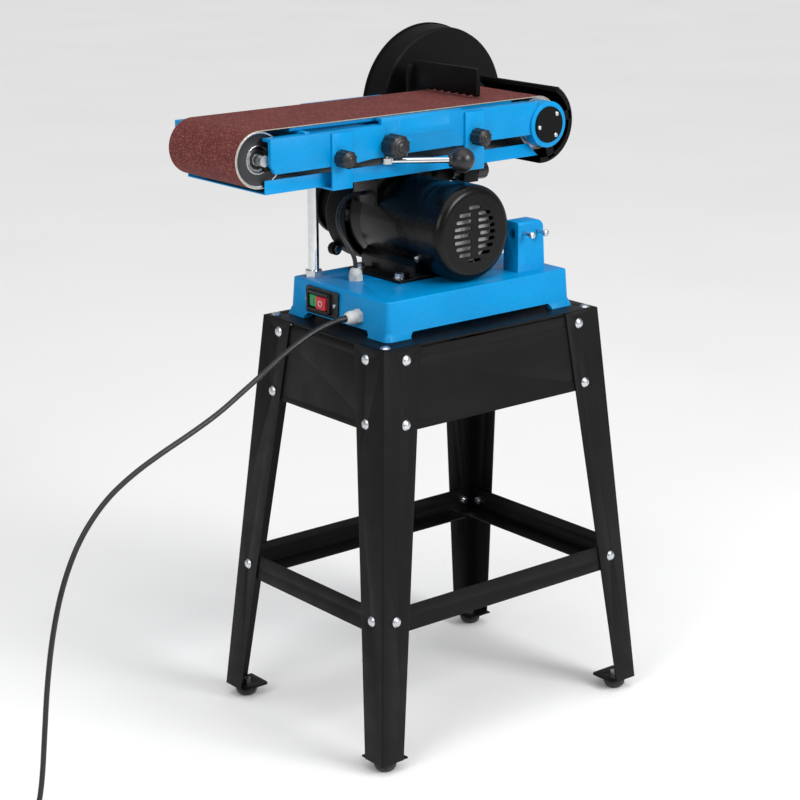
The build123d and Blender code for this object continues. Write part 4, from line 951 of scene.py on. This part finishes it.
def startBar(settings, face, y, z):
    halfWidth, halfHeight = settings["bar"]
    return roundedBar(face - settings["barOut"], face + settings["barIn"], y - halfWidth, y + halfWidth,
                      z - halfHeight, z + halfHeight, settings["barSoft"])


finishPiece(switchSurround(switchSettings), "switchSurround", "machine",
            materials["switch_black"])
for body, slot, makeMark, markName, markMaterial in (
        ("start", "button_green", startBar, "startBar", "markGreen"),
        ("stop", "button_red", stopRing, "stopRing", "markWhite")):
    y0, y1, z0, z1, proud = switchSettings[body]
    button = roundedBar(plateFace - proud, plateFace + switchSettings["buttonLong"], y0, y1, z0, z1,
                        switchSettings["buttonSoft"])
    finishPiece(button, body + "ButtonMoulded", body, materials[slot], [body + "_button"])
    mark = makeMark(switchSettings, plateFace - proud, (y0 + y1) / 2, (z0 + z1) / 2)
    finishPiece(mark, markName, body, extraMaterials[markMaterial])
print("switch made")


# platen: ground steel top on painted sides
platenSettings = {"soft": 0.6, "upward": 0.7}
platen = finishPiece(softened(["platen"], platenSettings["soft"]), "platenGround", "arm",
                     [materials["machined_steel"], materials["blue_casting"]], ["platen"])
for face in platen.data.polygons:
    face.material_index = 0 if face.normal.z > platenSettings["upward"] else 1
print("platen made")


# floor: plain and pale
floorSettings = {"size": 30, "below": 0.5, "cuts": 4, "blotch": 600, "hexes": ("#F4F4F4", "#F7F7F7")}
bpy.ops.mesh.primitive_plane_add(size=floorSettings["size"], location=(0, 0, -floorSettings["below"] * mm))
floor = bpy.context.object
floor.name = "studioFloor"
editAll(floor)
bpy.ops.mesh.subdivide(number_cuts=floorSettings["cuts"])
leaveEdit()
bakePlace(floor)
# painted board: matt, with a barely seen change of tone
floorMaterial, floorTree, floorShader, floorPlace = newMaterial("paleStudioFloor", Roughness=0.9,
                                                                Specular_IOR_Level=0.1)
pale, paler = [toLinear(hexColour) for hexColour in floorSettings["hexes"]]
floorTone = wearing(floorTree, floorPlace, floorSettings["blotch"], 2, (0.3, pale), (0.7, paler))
floorTree.links.new(floorTone, floorShader.inputs["Base Color"])
floor.data.materials.append(floorMaterial)
print("floor laid")


# studio light: a white room, two softboxes and a wide overhead diffuser
roomLight = {"seen": 1.0, "asLight": 0.38, "colour": "#FFFFFF"}
softboxes = {
    "frontSoftbox": {"place": (700, -2600, 2000), "size": 1.3, "power": 62},
    "leftSoftbox": {"place": (-2600, -900, 1900), "size": 1.2, "power": 20},
}
overheadSettings = {"height": 3000, "strength": 1.4, "spread": 70, "lean": (12, -8, 0)}
softboxAim = at(0, 0, 600)
world = bpy.data.worlds.new("studioWorld")
bpy.context.scene.world = world
world.use_nodes = True
background = world.node_tree.nodes["Background"]
background.inputs["Color"].default_value = toLinear(roomLight["colour"])
seen = addNode(world.node_tree, "ShaderNodeLightPath", out="Is Camera Ray")
strength = addNode(world.node_tree, "ShaderNodeMapRange", {"Value": seen, "To Min": roomLight["asLight"],
                                                           "To Max": roomLight["seen"]})
world.node_tree.links.new(strength, background.inputs["Strength"])
for name, setting in softboxes.items():
    bpy.ops.object.light_add(type="AREA", location=at(*setting["place"]))
    lamp = bpy.context.object
    lamp.name = name
    lamp.data.shape = "SQUARE"
    lamp.data.size = setting["size"]
    lamp.data.energy = setting["power"]
    lamp.rotation_euler = (softboxAim - lamp.location).to_track_quat("-Z", "Y").to_euler()
bpy.ops.object.light_add(type="SUN", location=at(0, 0, overheadSettings["height"]))
overhead = bpy.context.object
overhead.name = "overheadDiffuser"
overhead.data.energy = overheadSettings["strength"]
overhead.data.angle = math.radians(overheadSettings["spread"])
overhead.rotation_euler = [math.radians(turn) for turn in overheadSettings["lean"]]
bpy.context.scene.view_settings.view_transform = "Standard"
print("lights set")

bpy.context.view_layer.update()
